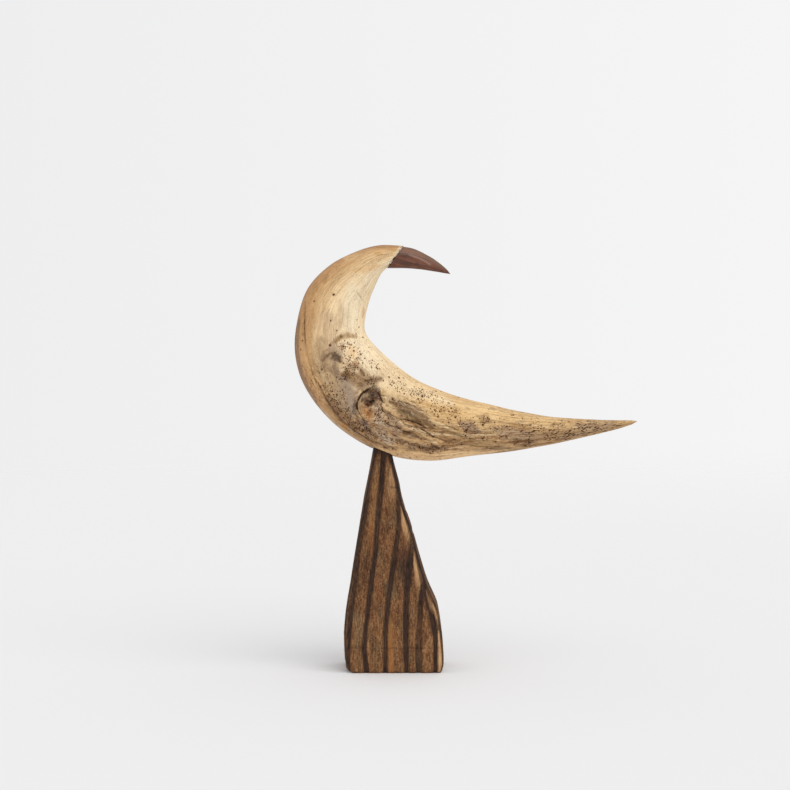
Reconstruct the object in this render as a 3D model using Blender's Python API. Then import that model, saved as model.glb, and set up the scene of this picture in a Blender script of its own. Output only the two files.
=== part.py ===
"""Driftwood bird on a scorched softwood plinth.

Units are metres with +Z up. The origin is the centre of the plinth's flat underside. The bird's beak
and tail point to +X, and the side that is looked at is -Y.

Five pieces are made: the driftwood body, the hardwood beak, the dowel that joins the two, the wedge
plinth, and the steel pin that stands in the plinth and carries the bird. The bird lifts straight up
off the pin.
"""
import math

import bmesh
import bpy
import numpy as np
from mathutils import Matrix, Vector

MM = 0.001

# ---- Driving dimensions, in millimetres ----------------------------------------------------------

# Sections across the bird, from the cut face at the head, down the neck, round the breast and out to
# the tail: outer edge x and z, inner edge x and z, and half the thickness from front to back.
BIRD_SECTIONS = (
    (5.0, 297.6, -6.4, 282.0, 7.2),
    (-12.0, 297.8, -10.2, 277.0, 10.0),
    (-28.5, 293.0, -14.2, 268.6, 13.0),
    (-46.0, 283.6, -17.8, 259.2, 15.2),
    (-60.6, 268.4, -20.4, 248.8, 16.6),
    (-67.6, 249.0, -21.2, 240.0, 17.8),
    (-70.3, 227.6, -18.4, 233.0, 19.6),
    (-66.6, 206.6, -13.2, 227.0, 21.8),
    (-56.2, 187.8, -6.2, 220.0, 23.6),
    (-40.6, 171.2, 3.6, 211.8, 24.6),
    (-20.6, 157.8, 15.6, 203.6, 24.8),
    (1.6, 149.4, 30.0, 197.0, 24.0),
    (26.0, 146.8, 47.0, 191.2, 22.4),
    (52.0, 150.0, 67.0, 186.2, 20.0),
    (80.0, 153.2, 89.0, 181.2, 16.8),
    (108.0, 158.0, 112.0, 177.4, 13.0),
    (134.0, 163.6, 136.0, 176.0, 8.8),
    (155.0, 168.8, 155.6, 175.3, 4.8),
    (166.0, 172.2, 166.2, 175.2, 2.2),
)
TAIL_TIP = (170.2, 174.6)
STEPS_BETWEEN_SECTIONS = 3
POINTS_ROUND_BIRD = 32
ROUNDNESS = 2.25  # 2 is an ellipse, more is squarer

# The plinth: height, left edge, right edge and half depth of its slab, from the base upwards.
PLINTH_ROWS = (
    (0.0, -34.2, 34.2, 24.0),
    (12.0, -35.4, 34.2, 24.0),
    (29.0, -35.9, 33.0, 23.0),
    (50.0, -33.9, 28.2, 20.6),
    (80.0, -28.7, 17.4, 16.8),
    (115.0, -23.0, 7.5, 12.8),
    (142.0, -17.9, 0.0, 9.8),
    (162.0, -14.2, -4.6, 8.0),
)
PLINTH_EDGE = 2.4  # how far the plinth's edges are worn round

# The seat is the flat on which the bird rests. It follows the belly, down towards the tail, and its
# shallow upright recess in the belly keeps the bird from turning.
SEAT_CENTRE = (-8.8, 154.7)
SEAT_SLOPE_DEG = 21.8
SEAT_RECESS = (-16.7, -1.2, 9.7)  # left wall, right wall and half depth

PIN_DIAMETER = 5.0
PIN_LENGTH = 78.0
PIN_IN_PLINTH = 42.0
PIN_CHAMFER = 0.5

# The beak: top x and z, bottom x and z, and half the thickness, from its back face to its point.
BEAK_SECTIONS = (
    (5.4, 297.0, -5.6, 281.9, 6.8),
    (13.4, 295.2, 8.0, 281.9, 6.4),
    (22.4, 290.9, 19.0, 280.9, 4.9),
    (30.6, 285.7, 28.4, 279.4, 3.1),
    (36.2, 281.0, 35.2, 278.2, 1.3),
)
BEAK_POINT = (39.0, 277.6)
# Corners of the carved section: along the height (1 is the top), and along the thickness.
BEAK_CORNERS = (
    (1.0, 0.22),
    (0.42, 0.86),
    (-0.50, 0.96),
    (-1.0, 0.40),
)

DOWEL_DIAMETER = 4.0
DOWEL_LENGTH = 22.0
DOWEL_TILT_DEG = -8.0
DOWEL_CENTRE = (0.4, 289.4)
DOWEL_CHAMFER = 0.4

GAP = 0.3  # room left between a piece and its neighbour
CUTTER_REACH = 60.0
ROUND_SIDES = 28


def bird_edges():
    """Return the smooth sections of the bird: centres, half-height vectors and half thicknesses."""
    rows = np.array(BIRD_SECTIONS)
    before = 2.0 * rows[0] - rows[1]
    after = 2.0 * rows[-1] - rows[-2]
    knots = np.vstack((before, rows, after))
    t = np.arange(STEPS_BETWEEN_SECTIONS)[:, None] / STEPS_BETWEEN_SECTIONS
    spans = [smooth_span(knots[i:i + 4], t) for i in range(len(rows) - 1)]
    smooth = np.vstack(spans + [rows[-1:]])
    outer, inner, depth = smooth[:, 0:2], smooth[:, 2:4], smooth[:, 4]
    return (outer + inner) / 2.0, (outer - inner) / 2.0, depth


def smooth_span(knots, t):
    """Pass a Catmull-Rom curve from the second of four knots to the third, at the values t."""
    a, b, c, d = knots
    return 0.5 * (2 * b + (c - a) * t + (2 * a - 5 * b + 4 * c - d) * t**2
                  + (3 * b - a - 3 * c + d) * t**3)


def bird_rings():
    """Return the bird's rings of points, each a rounded section across its height and thickness."""
    centres, heights, depths = bird_edges()
    turn = 2.0 * math.pi * np.arange(POINTS_ROUND_BIRD) / POINTS_ROUND_BIRD
    across = np.sign(np.cos(turn)) * np.abs(np.cos(turn)) ** (2.0 / ROUNDNESS)
    through = np.sign(np.sin(turn)) * np.abs(np.sin(turn)) ** (2.0 / ROUNDNESS)
    rings = []
    for centre, height, depth in zip(centres, heights, depths):
        xz = centre + across[:, None] * height
        rings.append([Vector((x, y, z)) for (x, z), y in zip(xz, through * depth)])
    return rings


def beak_rings():
    """Return the beak's rings of corners, with the same flat facets from the back to the point."""
    side = list(BEAK_CORNERS)
    corners = side + [(up, -out) for up, out in reversed(side)]
    rings = []
    for top_x, top_z, low_x, low_z, half in BEAK_SECTIONS:
        middle = Vector(((top_x + low_x) / 2.0, 0.0, (top_z + low_z) / 2.0))
        reach = Vector(((top_x - low_x) / 2.0, 0.0, (top_z - low_z) / 2.0))
        rings.append([middle + reach * up + Vector((0.0, half * out, 0.0)) for up, out in corners])
    return rings


def plinth_rings():
    """Return the plinth's rings of four corners, from the base upwards."""
    return [
        [Vector((left, -half, z)), Vector((right, -half, z)),
         Vector((right, half, z)), Vector((left, half, z))]
        for z, left, right, half in PLINTH_ROWS
    ]


def loft(name, rings, point=None):
    """Join rings of points, in millimetres, into one closed mesh, ending in a point if one is given."""
    bm = bmesh.new()
    loops = [[bm.verts.new(co * MM) for co in ring] for ring in rings]
    count = len(loops[0])
    for low, high in zip(loops, loops[1:]):
        for i in range(count):
            j = (i + 1) % count
            bm.faces.new((low[i], low[j], high[j], high[i]))
    bm.faces.new(loops[0])
    if point is None:
        bm.faces.new(loops[-1])
    else:
        tip = bm.verts.new(Vector((point[0], 0.0, point[1])) * MM)
        for i in range(count):
            bm.faces.new((loops[-1][i], loops[-1][(i + 1) % count], tip))
    bmesh.ops.recalc_face_normals(bm, faces=bm.faces)
    mesh = bpy.data.meshes.new(name)
    bm.to_mesh(mesh)
    bm.free()
    return mesh


def rod(name, diameter, length, chamfer=0.0):
    """Make a round rod along Z, centred on its middle, with its ends chamfered."""
    bm = bmesh.new()
    bmesh.ops.create_cone(bm, cap_ends=True, segments=ROUND_SIDES, radius1=diameter / 2.0 * MM,
                          radius2=diameter / 2.0 * MM, depth=length * MM)
    if chamfer:
        rims = [edge for edge in bm.edges if abs(edge.verts[0].co.z - edge.verts[1].co.z) < MM]
        bmesh.ops.bevel(bm, geom=rims, offset=chamfer * MM, segments=1, affect='EDGES')
    mesh = bpy.data.meshes.new(name)
    bm.to_mesh(mesh)
    bm.free()
    return mesh


def finish(name, colour, roughness, metallic=0.0):
    """Make a plain material for one piece."""
    material = bpy.data.materials.new(name)
    material.use_nodes = True
    shader = material.node_tree.nodes["Principled BSDF"]
    shader.inputs["Base Color"].default_value = (*colour, 1.0)
    shader.inputs["Roughness"].default_value = roughness
    shader.inputs["Metallic"].default_value = metallic
    return material


def group(name, place):
    """Make an empty that carries the pieces which move together."""
    empty = bpy.data.objects.new(name, None)
    empty.empty_display_size = 0.02
    empty.location = place
    bpy.context.collection.objects.link(empty)
    return empty


def piece(name, mesh, material, parent, place=None):
    """Put a mesh into the scene under its group. One without a place is already drawn in place."""
    obj = bpy.data.objects.new(name, mesh)
    bpy.context.collection.objects.link(obj)
    obj.parent = parent
    if place is None:
        mesh.transform(Matrix.Translation(-parent.location))
    else:
        obj.matrix_local = Matrix.Translation(-parent.location) @ place
    mesh.materials.append(material)
    return obj


def cutter(name, mesh, matrix):
    """Make a body that only cuts others."""
    obj = bpy.data.objects.new(name, mesh)
    bpy.context.collection.objects.link(obj)
    obj.matrix_world = matrix
    obj.hide_render = True
    obj.display_type = 'WIRE'
    return obj


def cut(obj, tool):
    """Cut a tool's shape out of a piece."""
    modifier = obj.modifiers.new(tool.name, 'BOOLEAN')
    modifier.operation = 'DIFFERENCE'
    modifier.solver = 'EXACT'
    modifier.object = tool


def soften(obj, angle_deg):
    """Shade a piece smooth, with its edges sharp past an angle."""
    obj.data.shade_smooth()
    obj.data.set_sharp_from_angle(angle=math.radians(angle_deg))


def seat_block(name, left, right, half, far_z, lift):
    """Make an upright block from a height far_z to the seat, whose sloping end is lifted off it."""
    slope = math.tan(math.radians(SEAT_SLOPE_DEG))
    ends = []
    for x in (left, right):
        on_seat = SEAT_CENTRE[1] - slope * (x - SEAT_CENTRE[0]) + lift
        ends.append([Vector((x, -half, far_z)), Vector((x, half, far_z)),
                     Vector((x, half, on_seat)), Vector((x, -half, on_seat))])
    return loft(name, ends)


def build():
    """Build the five pieces."""
    for old in list(bpy.data.objects):
        bpy.data.objects.remove(old, do_unlink=True)

    driftwood = finish("driftwood", (0.60, 0.43, 0.25), 0.55)
    hardwood = finish("dark_hardwood", (0.16, 0.07, 0.045), 0.42)
    beech = finish("beech_dowel", (0.62, 0.42, 0.24), 0.60)
    scorched = finish("scorched_softwood", (0.19, 0.095, 0.045), 0.70)
    steel = finish("bright_steel", (0.56, 0.57, 0.58), 0.30, metallic=1.0)

    pin_bottom = SEAT_CENTRE[1] - PIN_IN_PLINTH
    pin_centre = Vector((SEAT_CENTRE[0], 0.0, pin_bottom + PIN_LENGTH / 2.0)) * MM
    pin_place = Matrix.Translation(pin_centre)
    dowel_centre = Vector((DOWEL_CENTRE[0], 0.0, DOWEL_CENTRE[1])) * MM
    dowel_turn = Matrix.Rotation(math.radians(90.0 - DOWEL_TILT_DEG), 4, 'Y')
    dowel_place = Matrix.Translation(dowel_centre) @ dowel_turn

    pin_bore = cutter("cut_pin_bore", rod("cut_pin_bore", PIN_DIAMETER + 2 * GAP, PIN_LENGTH + 2 * GAP),
                      pin_place)
    dowel_bore = cutter("cut_dowel_bore",
                        rod("cut_dowel_bore", DOWEL_DIAMETER + 2 * GAP, DOWEL_LENGTH + 2 * GAP),
                        dowel_place)
    here = Matrix.Identity(4)
    above_seat = cutter("cut_above_seat",
                        seat_block("cut_above_seat", -CUTTER_REACH, CUTTER_REACH, CUTTER_REACH,
                                   SEAT_CENTRE[1] + CUTTER_REACH, -GAP / 2.0), here)
    seat_recess = cutter("cut_seat_recess",
                         seat_block("cut_seat_recess", *SEAT_RECESS,
                                    SEAT_CENTRE[1] - CUTTER_REACH, GAP / 2.0), here)

    stand = group("stand", Vector((0.0, 0.0, 0.0)))
    bird = group("bird", Vector((SEAT_CENTRE[0], 0.0, SEAT_CENTRE[1])) * MM)

    plinth = piece("plinth", loft("plinth", plinth_rings()), scorched, stand)
    worn = plinth.modifiers.new("worn_edges", 'BEVEL')
    worn.width = PLINTH_EDGE * MM
    worn.segments = 3
    worn.limit_method = 'ANGLE'
    worn.angle_limit = math.radians(50.0)
    cut(plinth, above_seat)
    cut(plinth, pin_bore)
    soften(plinth, 40.0)

    pin = piece("mounting_pin", rod("mounting_pin", PIN_DIAMETER, PIN_LENGTH, PIN_CHAMFER), steel,
                stand, pin_place)
    soften(pin, 30.0)

    body = piece("bird_body", loft("bird_body", bird_rings(), TAIL_TIP), driftwood, bird)
    cut(body, seat_recess)
    cut(body, pin_bore)
    cut(body, dowel_bore)
    soften(body, 40.0)

    beak = piece("beak", loft("beak", beak_rings(), BEAK_POINT), hardwood, bird)
    cut(beak, dowel_bore)

    dowel = piece("beak_dowel", rod("beak_dowel", DOWEL_DIAMETER, DOWEL_LENGTH, DOWEL_CHAMFER), beech,
                  bird, dowel_place)
    soften(dowel, 30.0)


build()
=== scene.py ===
"""The finished looks of a driftwood bird on a scorched softwood plinth.

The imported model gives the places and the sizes. This script builds the visible surfaces round it:
the weathered driftwood with its knots, cracks and beetle holes, the carved beak, the brushed and
scorched plinth, the steel pin and the beech dowel, and then the floor, the light and the camera.

Lengths inside the script are millimetres, in the model's own frame, and become metres when a mesh is
made. The bird's beak and tail point to +X, and the side that is looked at is -Y.
"""
import enum
import itertools
import logging
import math
from dataclasses import dataclass, field
from typing import Any, Sequence

import bpy
import numpy as np
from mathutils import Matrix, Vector


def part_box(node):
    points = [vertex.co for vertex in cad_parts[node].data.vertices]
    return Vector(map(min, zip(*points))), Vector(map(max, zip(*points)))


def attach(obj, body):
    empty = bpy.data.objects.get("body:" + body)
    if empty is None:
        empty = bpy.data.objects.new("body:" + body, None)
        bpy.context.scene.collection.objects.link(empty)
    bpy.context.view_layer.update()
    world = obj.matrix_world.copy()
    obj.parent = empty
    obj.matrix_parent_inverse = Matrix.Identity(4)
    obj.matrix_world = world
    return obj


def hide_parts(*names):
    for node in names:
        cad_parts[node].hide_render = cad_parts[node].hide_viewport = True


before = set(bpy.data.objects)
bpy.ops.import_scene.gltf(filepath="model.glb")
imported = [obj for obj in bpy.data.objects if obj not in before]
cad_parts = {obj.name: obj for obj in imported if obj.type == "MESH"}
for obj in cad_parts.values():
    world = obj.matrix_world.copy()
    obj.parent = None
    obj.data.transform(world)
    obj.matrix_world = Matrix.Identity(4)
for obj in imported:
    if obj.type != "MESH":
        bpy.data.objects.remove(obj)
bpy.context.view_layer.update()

MM = 0.001
Array = np.ndarray
Point = tuple[float, float]
log = logging.getLogger("driftwood_bird")


# ---- Numbers and curves --------------------------------------------------------------------------

def smoothstep(low: float, high: float, value: Array) -> Array:
    """Rise smoothly from 0 at low to 1 at high (low may be the larger of the two).

    Args:
        low: the value where the rise starts.
        high: the value where it ends.
        value: the values to map.

    Returns:
        The cubic 3 t^2 - 2 t^3 of the share t of the way from low to high.
    """
    t = np.clip((value - low) / (high - low), 0.0, 1.0)
    return t * t * (3.0 - 2.0 * t)


def catmull_rom(rows: Array, at: Array) -> Array:
    """Pass a smooth curve through rows of numbers.

    The curve between two rows is the cubic whose slope at each row is half the step from the row
    before to the row after. Past either end the first and last steps are repeated.

    Args:
        rows: the numbers to pass through, one row for each whole value of the parameter.
        at: the parameters at which the curve is wanted, from 0 to the number of rows less one.

    Returns:
        One row of numbers for each parameter.
    """
    rows = np.asarray(rows, float)
    knots = np.vstack((2 * rows[:1] - rows[1:2], rows, 2 * rows[-1:] - rows[-2:-1]))
    span = np.clip(np.floor(at), 0, len(rows) - 2).astype(int)
    t = (at - span)[:, None]
    a, b, c, d = (knots[span + k] for k in range(4))
    return 0.5 * (2 * b + (c - a) * t + (2 * a - 5 * b + 4 * c - d) * t**2
                  + (3 * b - a - 3 * c + d) * t**3)


def gradient_noise(points: Array, seed: int) -> Array:
    """Smooth random hills and hollows, about -1 to 1, one hill to each unit of length.

    Each corner of a unit lattice has a random direction, and a point's value is the mix, by the
    quintic fade curve, of the dot products of those directions with the way from each corner.

    Args:
        points: positions, with the three coordinates along the last axis.
        seed: picks the directions.

    Returns:
        One value for each point.
    """
    rng = np.random.default_rng(seed)
    order = rng.permutation(256)
    ways = rng.normal(size=(256, 3))
    ways /= np.linalg.norm(ways, axis=1, keepdims=True)
    cell = np.floor(points).astype(int)
    local = points - cell
    fade = local**3 * (local * (local * 6 - 15) + 10)
    total = np.zeros(points.shape[:-1])
    for corner in itertools.product((0, 1), repeat=3):
        key = (cell + corner) & 255
        pick = order[(order[(order[key[..., 0]] + key[..., 1]) & 255] + key[..., 2]) & 255]
        weight = np.prod(np.where(np.array(corner) == 1, fade, 1 - fade), axis=-1)
        total += weight * np.sum((local - corner) * ways[pick], axis=-1)
    return total * 1.6


def fractal(points: Array, size: float, octaves: int, seed: int) -> Array:
    """Add octaves of gradient noise, each half as large and half as strong as the one before.

    Args:
        points: positions in millimetres.
        size: the length of the largest hills, in millimetres.
        octaves: how many layers are added.
        seed: picks the noise.

    Returns:
        One value for each point, about -1 to 1.
    """
    total = np.zeros(points.shape[:-1])
    for k in range(octaves):
        total += gradient_noise(points * (2.0**k / size), seed + k) * 0.5**k
    return total / (2.0 - 0.5 ** (octaves - 1))


def near_path(xz: Array, path: Sequence[Point]) -> tuple[Array, Array, Array]:
    """Measure how far points lie from a smooth path, how far along it they are, and on which side.

    Args:
        xz: points, with x and z along the last axis.
        path: the points that the path passes through. A single point is a path of no length.

    Returns:
        The distance to the path, the place along it from 0 to 1, and 1 on its left or -1 on its right.
    """
    points = np.array(path, float)
    if len(points) == 1:
        away = np.linalg.norm(xz - points[0], axis=-1)
        return away, np.full(away.shape, 0.5), np.ones(away.shape)
    if len(points) > 2:
        points = catmull_rom(points, np.linspace(0, len(points) - 1, 5 * len(points) - 4))
    lengths = np.linalg.norm(np.diff(points, axis=0), axis=1)
    starts = np.concatenate(([0.0], np.cumsum(lengths)))
    nearest = np.full(xz.shape[:-1], np.inf)
    place, side = np.zeros(nearest.shape), np.ones(nearest.shape)
    for a, b, length, start in zip(points[:-1], points[1:], lengths, starts):
        t = np.clip(((xz - a) @ (b - a)) / length**2, 0.0, 1.0)
        off = xz - a - t[..., None] * (b - a)
        distance = np.linalg.norm(off, axis=-1)
        closer = distance < nearest
        nearest = np.where(closer, distance, nearest)
        place = np.where(closer, (start + t * length) / starts[-1], place)
        turn = (b - a)[0] * off[..., 1] - (b - a)[1] * off[..., 0]
        side = np.where(closer, np.where(turn < 0.0, -1.0, 1.0), side)
    return nearest, place, side


def linear(colour: str) -> Array:
    """Turn an sRGB hex colour into the linear values that a shader mixes.

    Args:
        colour: a code such as "#C59C6E".

    Returns:
        Red, green and blue, from 0 to 1.
    """
    code = colour.lstrip("#")
    rgb = np.array([int(code[i:i + 2], 16) for i in (0, 2, 4)]) / 255.0
    return np.where(rgb <= 0.04045, rgb / 12.92, ((rgb + 0.055) / 1.055) ** 2.4)


# ---- Meshes --------------------------------------------------------------------------------------

def ring_quads(count: int, around: int) -> Array:
    """Join rings of points, numbered in order after one pole, with four-sided faces.

    Args:
        count: how many rings there are.
        around: how many points each ring has.

    Returns:
        The four corners of each face.
    """
    column = np.arange(around)
    beside = (column + 1) % around
    ring = 1 + around * np.arange(count - 1)[:, None]
    return np.stack((ring + column, ring + beside, ring + around + beside, ring + around + column),
                    axis=-1).reshape(-1, 4)


@dataclass
class Skin:
    """A closed surface on a grid: rings of points, and a pole at each end.

    Attributes:
        rings: the points, by ring and by place round the ring, in millimetres.
        start: the pole that closes the first ring.
        end: the pole that closes the last ring.
    """

    rings: Array
    start: Array
    end: Array

    def normals(self) -> Array:
        """Work out unit normals from the cross product of the steps along and round the grid.

        Returns:
            One unit vector for each point, as a grid.
        """
        along = np.gradient(self.rings, axis=0)
        round_it = np.roll(self.rings, -1, axis=1) - np.roll(self.rings, 1, axis=1)
        cross = np.cross(round_it, along)
        return cross / np.maximum(np.linalg.norm(cross, axis=-1, keepdims=True), 1e-9)

    def spread(self, values: Array) -> Array:
        """List one value for each vertex, giving a pole the mean of its ring.

        Args:
            values: the values on the grid.

        Returns:
            The values in the order of the vertices.
        """
        flat = values.reshape(-1, *values.shape[2:])
        return np.concatenate((values[:1].mean(axis=1), flat, values[-1:].mean(axis=1)))

    def build(self, name: str) -> bpy.types.Object:
        """Make the mesh and its object, shaded smooth, with its faces pointing outwards.

        Args:
            name: the piece's name.

        Returns:
            The object, at the origin, with its place in its mesh.
        """
        count, around = self.rings.shape[:2]
        points = np.vstack((self.start[None], self.rings.reshape(-1, 3), self.end[None])) * MM
        quads = ring_quads(count, around)
        last = 1 + around * (count - 1)
        pairs = [(column, (column + 1) % around) for column in range(around)]
        caps = ([(0, 1 + b, 1 + a) for a, b in pairs]
                + [(len(points) - 1, last + a, last + b) for a, b in pairs])
        mesh = bpy.data.meshes.new(name)
        mesh.from_pydata(points.tolist(), [], quads.tolist() + caps)
        mesh.validate()
        if enclosed_volume(points, quads, caps) < 0.0:
            mesh.flip_normals()
        mesh.shade_smooth()
        mesh.update()
        piece = bpy.data.objects.new(name, mesh)
        bpy.context.scene.collection.objects.link(piece)
        return piece


def enclosed_volume(points: Array, quads: Array, caps: Sequence[tuple[int, int, int]]) -> float:
    """Add up the signed volumes of the cones from the origin to each triangle.

    Args:
        points: the vertices.
        quads: the corners of the four-sided faces.
        caps: the corners of the triangles at the poles.

    Returns:
        The volume inside the faces: positive when they point outwards.
    """
    fans = np.vstack((quads[:, [0, 1, 2]], quads[:, [0, 2, 3]], np.array(caps)))
    a, b, c = (points[fans[:, k]] for k in range(3))
    return float(np.sum(a * np.cross(b, c)) / 6.0)


def store(piece: bpy.types.Object, name: str, values: Array) -> None:
    """Write one number, or one set of three, for each vertex into a named attribute.

    Args:
        piece: the object whose mesh takes the attribute.
        name: the attribute's name, by which a material reads it.
        values: the numbers, by vertex.
    """
    kind, key = ("FLOAT", "value") if values.ndim == 1 else ("FLOAT_VECTOR", "vector")
    attribute = piece.data.attributes.new(name, kind, "POINT")
    attribute.data.foreach_set(key, values.astype(np.float32).ravel())


def store_rings(piece: bpy.types.Object, skin: Skin, added: int, sets: dict[str, Array]) -> None:
    """Write attributes that are given ring by ring.

    Args:
        piece: the object whose mesh takes the attributes.
        skin: its surface.
        added: how many rings stand before those given. They take the first ring's values.
        sets: the numbers by ring and column, for each attribute's name.
    """
    for name, values in sets.items():
        store(piece, name, skin.spread(np.concatenate([values[:1]] * added + [values])))


def fit_inside(skin: Skin, node: str) -> None:
    """Draw a surface in, by the least scale along each axis, until it lies in its node's box.

    Args:
        skin: the surface, which is changed.
        node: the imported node's name.
    """
    low, high = (np.array(corner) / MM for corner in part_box(node))
    middle = (low + high) / 2.0
    points = np.vstack((skin.rings.reshape(-1, 3), skin.start[None], skin.end[None]))
    reach = np.abs(points - middle).max(axis=0)
    scale = np.minimum(1.0, (high - low) / 2.0 / reach)
    for part in (skin.rings, skin.start, skin.end):
        part[...] = middle + (part - middle) * scale


# ---- Shader nodes --------------------------------------------------------------------------------

def add_node(tree: bpy.types.NodeTree, kind: str, settings: dict[str, Any] | None = None,
             **links: Any) -> bpy.types.ShaderNode:
    """Add a node with its settings and links.

    Args:
        tree: the node tree that takes it.
        kind: the node's type without the ShaderNode prefix.
        settings: attributes of the node itself.
        links: what each input takes, keyed by its name with underscores for spaces, or by i and its
            number: a node (its first output), a socket, or a plain value.

    Returns:
        The new node.
    """
    node = tree.nodes.new("ShaderNode" + kind)
    for key, value in (settings or {}).items():
        setattr(node, key, value)
    for key, value in links.items():
        numbered = key[0] == "i" and key[1:].isdigit()
        socket = node.inputs[int(key[1:]) if numbered else key.replace("_", " ")]
        if isinstance(value, bpy.types.Node):
            value = value.outputs[0]
        if isinstance(value, bpy.types.NodeSocket):
            tree.links.new(value, socket)
        else:
            socket.default_value = value
    return node


def rgba(colour: str) -> tuple[float, float, float, float]:
    """Return a hex colour as the four linear values of a colour socket."""
    return (*linear(colour), 1.0)


class Finish:
    """The node tree of one material, with a shader whose fixed values are set on its own sockets."""

    def __init__(self, name: str, **fixed: Any) -> None:
        """Start a material.

        Args:
            name: the material's name, after the real material and how its surface was made.
            fixed: values for the shader's sockets, with the spaces in their names as underscores.
        """
        self.material = bpy.data.materials.new(name)
        self.material.use_nodes = True
        self.tree = self.material.node_tree
        self.shader = self.tree.nodes["Principled BSDF"]
        for key, value in fixed.items():
            self.shader.inputs[key.replace("_", " ")].default_value = value

    def add(self, kind: str, settings: dict[str, Any] | None = None,
            **links: Any) -> bpy.types.ShaderNode:
        """Add a node to this material."""
        return add_node(self.tree, kind, settings, **links)

    def attribute(self, name: str, output: str = "Fac") -> bpy.types.NodeSocket:
        """Read a vertex attribute."""
        return self.add("Attribute", {"attribute_name": name}).outputs[output]

    def mix(self, factor: Any, first: Any, second: Any, blend: str = "MIX") -> bpy.types.NodeSocket:
        """Mix two colours.

        Args:
            factor: the share of the second.
            first: a socket or a hex colour.
            second: another.
            blend: the kind of mixing.

        Returns:
            The mixed colour.
        """
        first, second = (rgba(c) if isinstance(c, str) else c for c in (first, second))
        return self.add("Mix", {"data_type": "RGBA", "blend_type": blend}, i0=factor, i6=first,
                        i7=second).outputs[2]

    def ramp(self, value: Any, low: float, high: float, start: float = 0.0,
             end: float = 1.0) -> bpy.types.NodeSocket:
        """Map a value to another range with a smooth step.

        Args:
            value: a socket or a number.
            low: what becomes the start.
            high: what becomes the end.
            start: the result at low and beyond it.
            end: the result at high and beyond it.

        Returns:
            The mapped value.
        """
        node = self.add("MapRange", {"interpolation_type": "SMOOTHSTEP"}, Value=value,
                        From_Min=low, From_Max=high, To_Min=start, To_Max=end)
        return node.outputs[0]

    def math(self, operation: str, first: Any, second: Any = 0.0,
             third: Any = 0.0) -> bpy.types.NodeSocket:
        """Do one sum on two or three values."""
        return self.add("Math", {"operation": operation}, i0=first, i1=second, i2=third).outputs[0]

    def stretched_noise(self, vector: Any, sizes: tuple[float, float, float], detail: float,
                        distortion: float = 0.0) -> bpy.types.NodeSocket:
        """Read noise whose hills are stretched along the axes of a vector.

        Args:
            vector: where it is read.
            sizes: the length of a hill along each axis, in the vector's own unit.
            detail: how many finer layers it has.
            distortion: how far it is twisted.

        Returns:
            The noise, about 0.3 to 0.7.
        """
        mapped = self.add("Mapping", Vector=vector, Scale=[1 / size for size in sizes])
        return self.add("TexNoise", Vector=mapped, Scale=1.0, Detail=detail,
                        Distortion=distortion).outputs["Fac"]

    def relief(self, height: Any, distance_mm: float, strength: float,
               below: Any = None) -> bpy.types.NodeSocket:
        """Raise a bump.

        Args:
            height: a height between 0 and 1.
            distance_mm: what a height of 1 stands for.
            strength: how strongly it shows.
            below: another bump that it lies on.

        Returns:
            The normal.
        """
        links = {"Height": height, "Distance": distance_mm * MM, "Strength": strength}
        if below is not None:
            links["Normal"] = below
        return self.add("Bump", **links).outputs["Normal"]

    def close(self, **links: Any) -> bpy.types.Material:
        """Link the shader's inputs and return the material.

        Args:
            links: the socket that each of the shader's inputs takes, with underscores for spaces.

        Returns:
            The finished material.
        """
        for key, value in links.items():
            self.tree.links.new(value, self.shader.inputs[key.replace("_", " ")])
        return self.material


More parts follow.
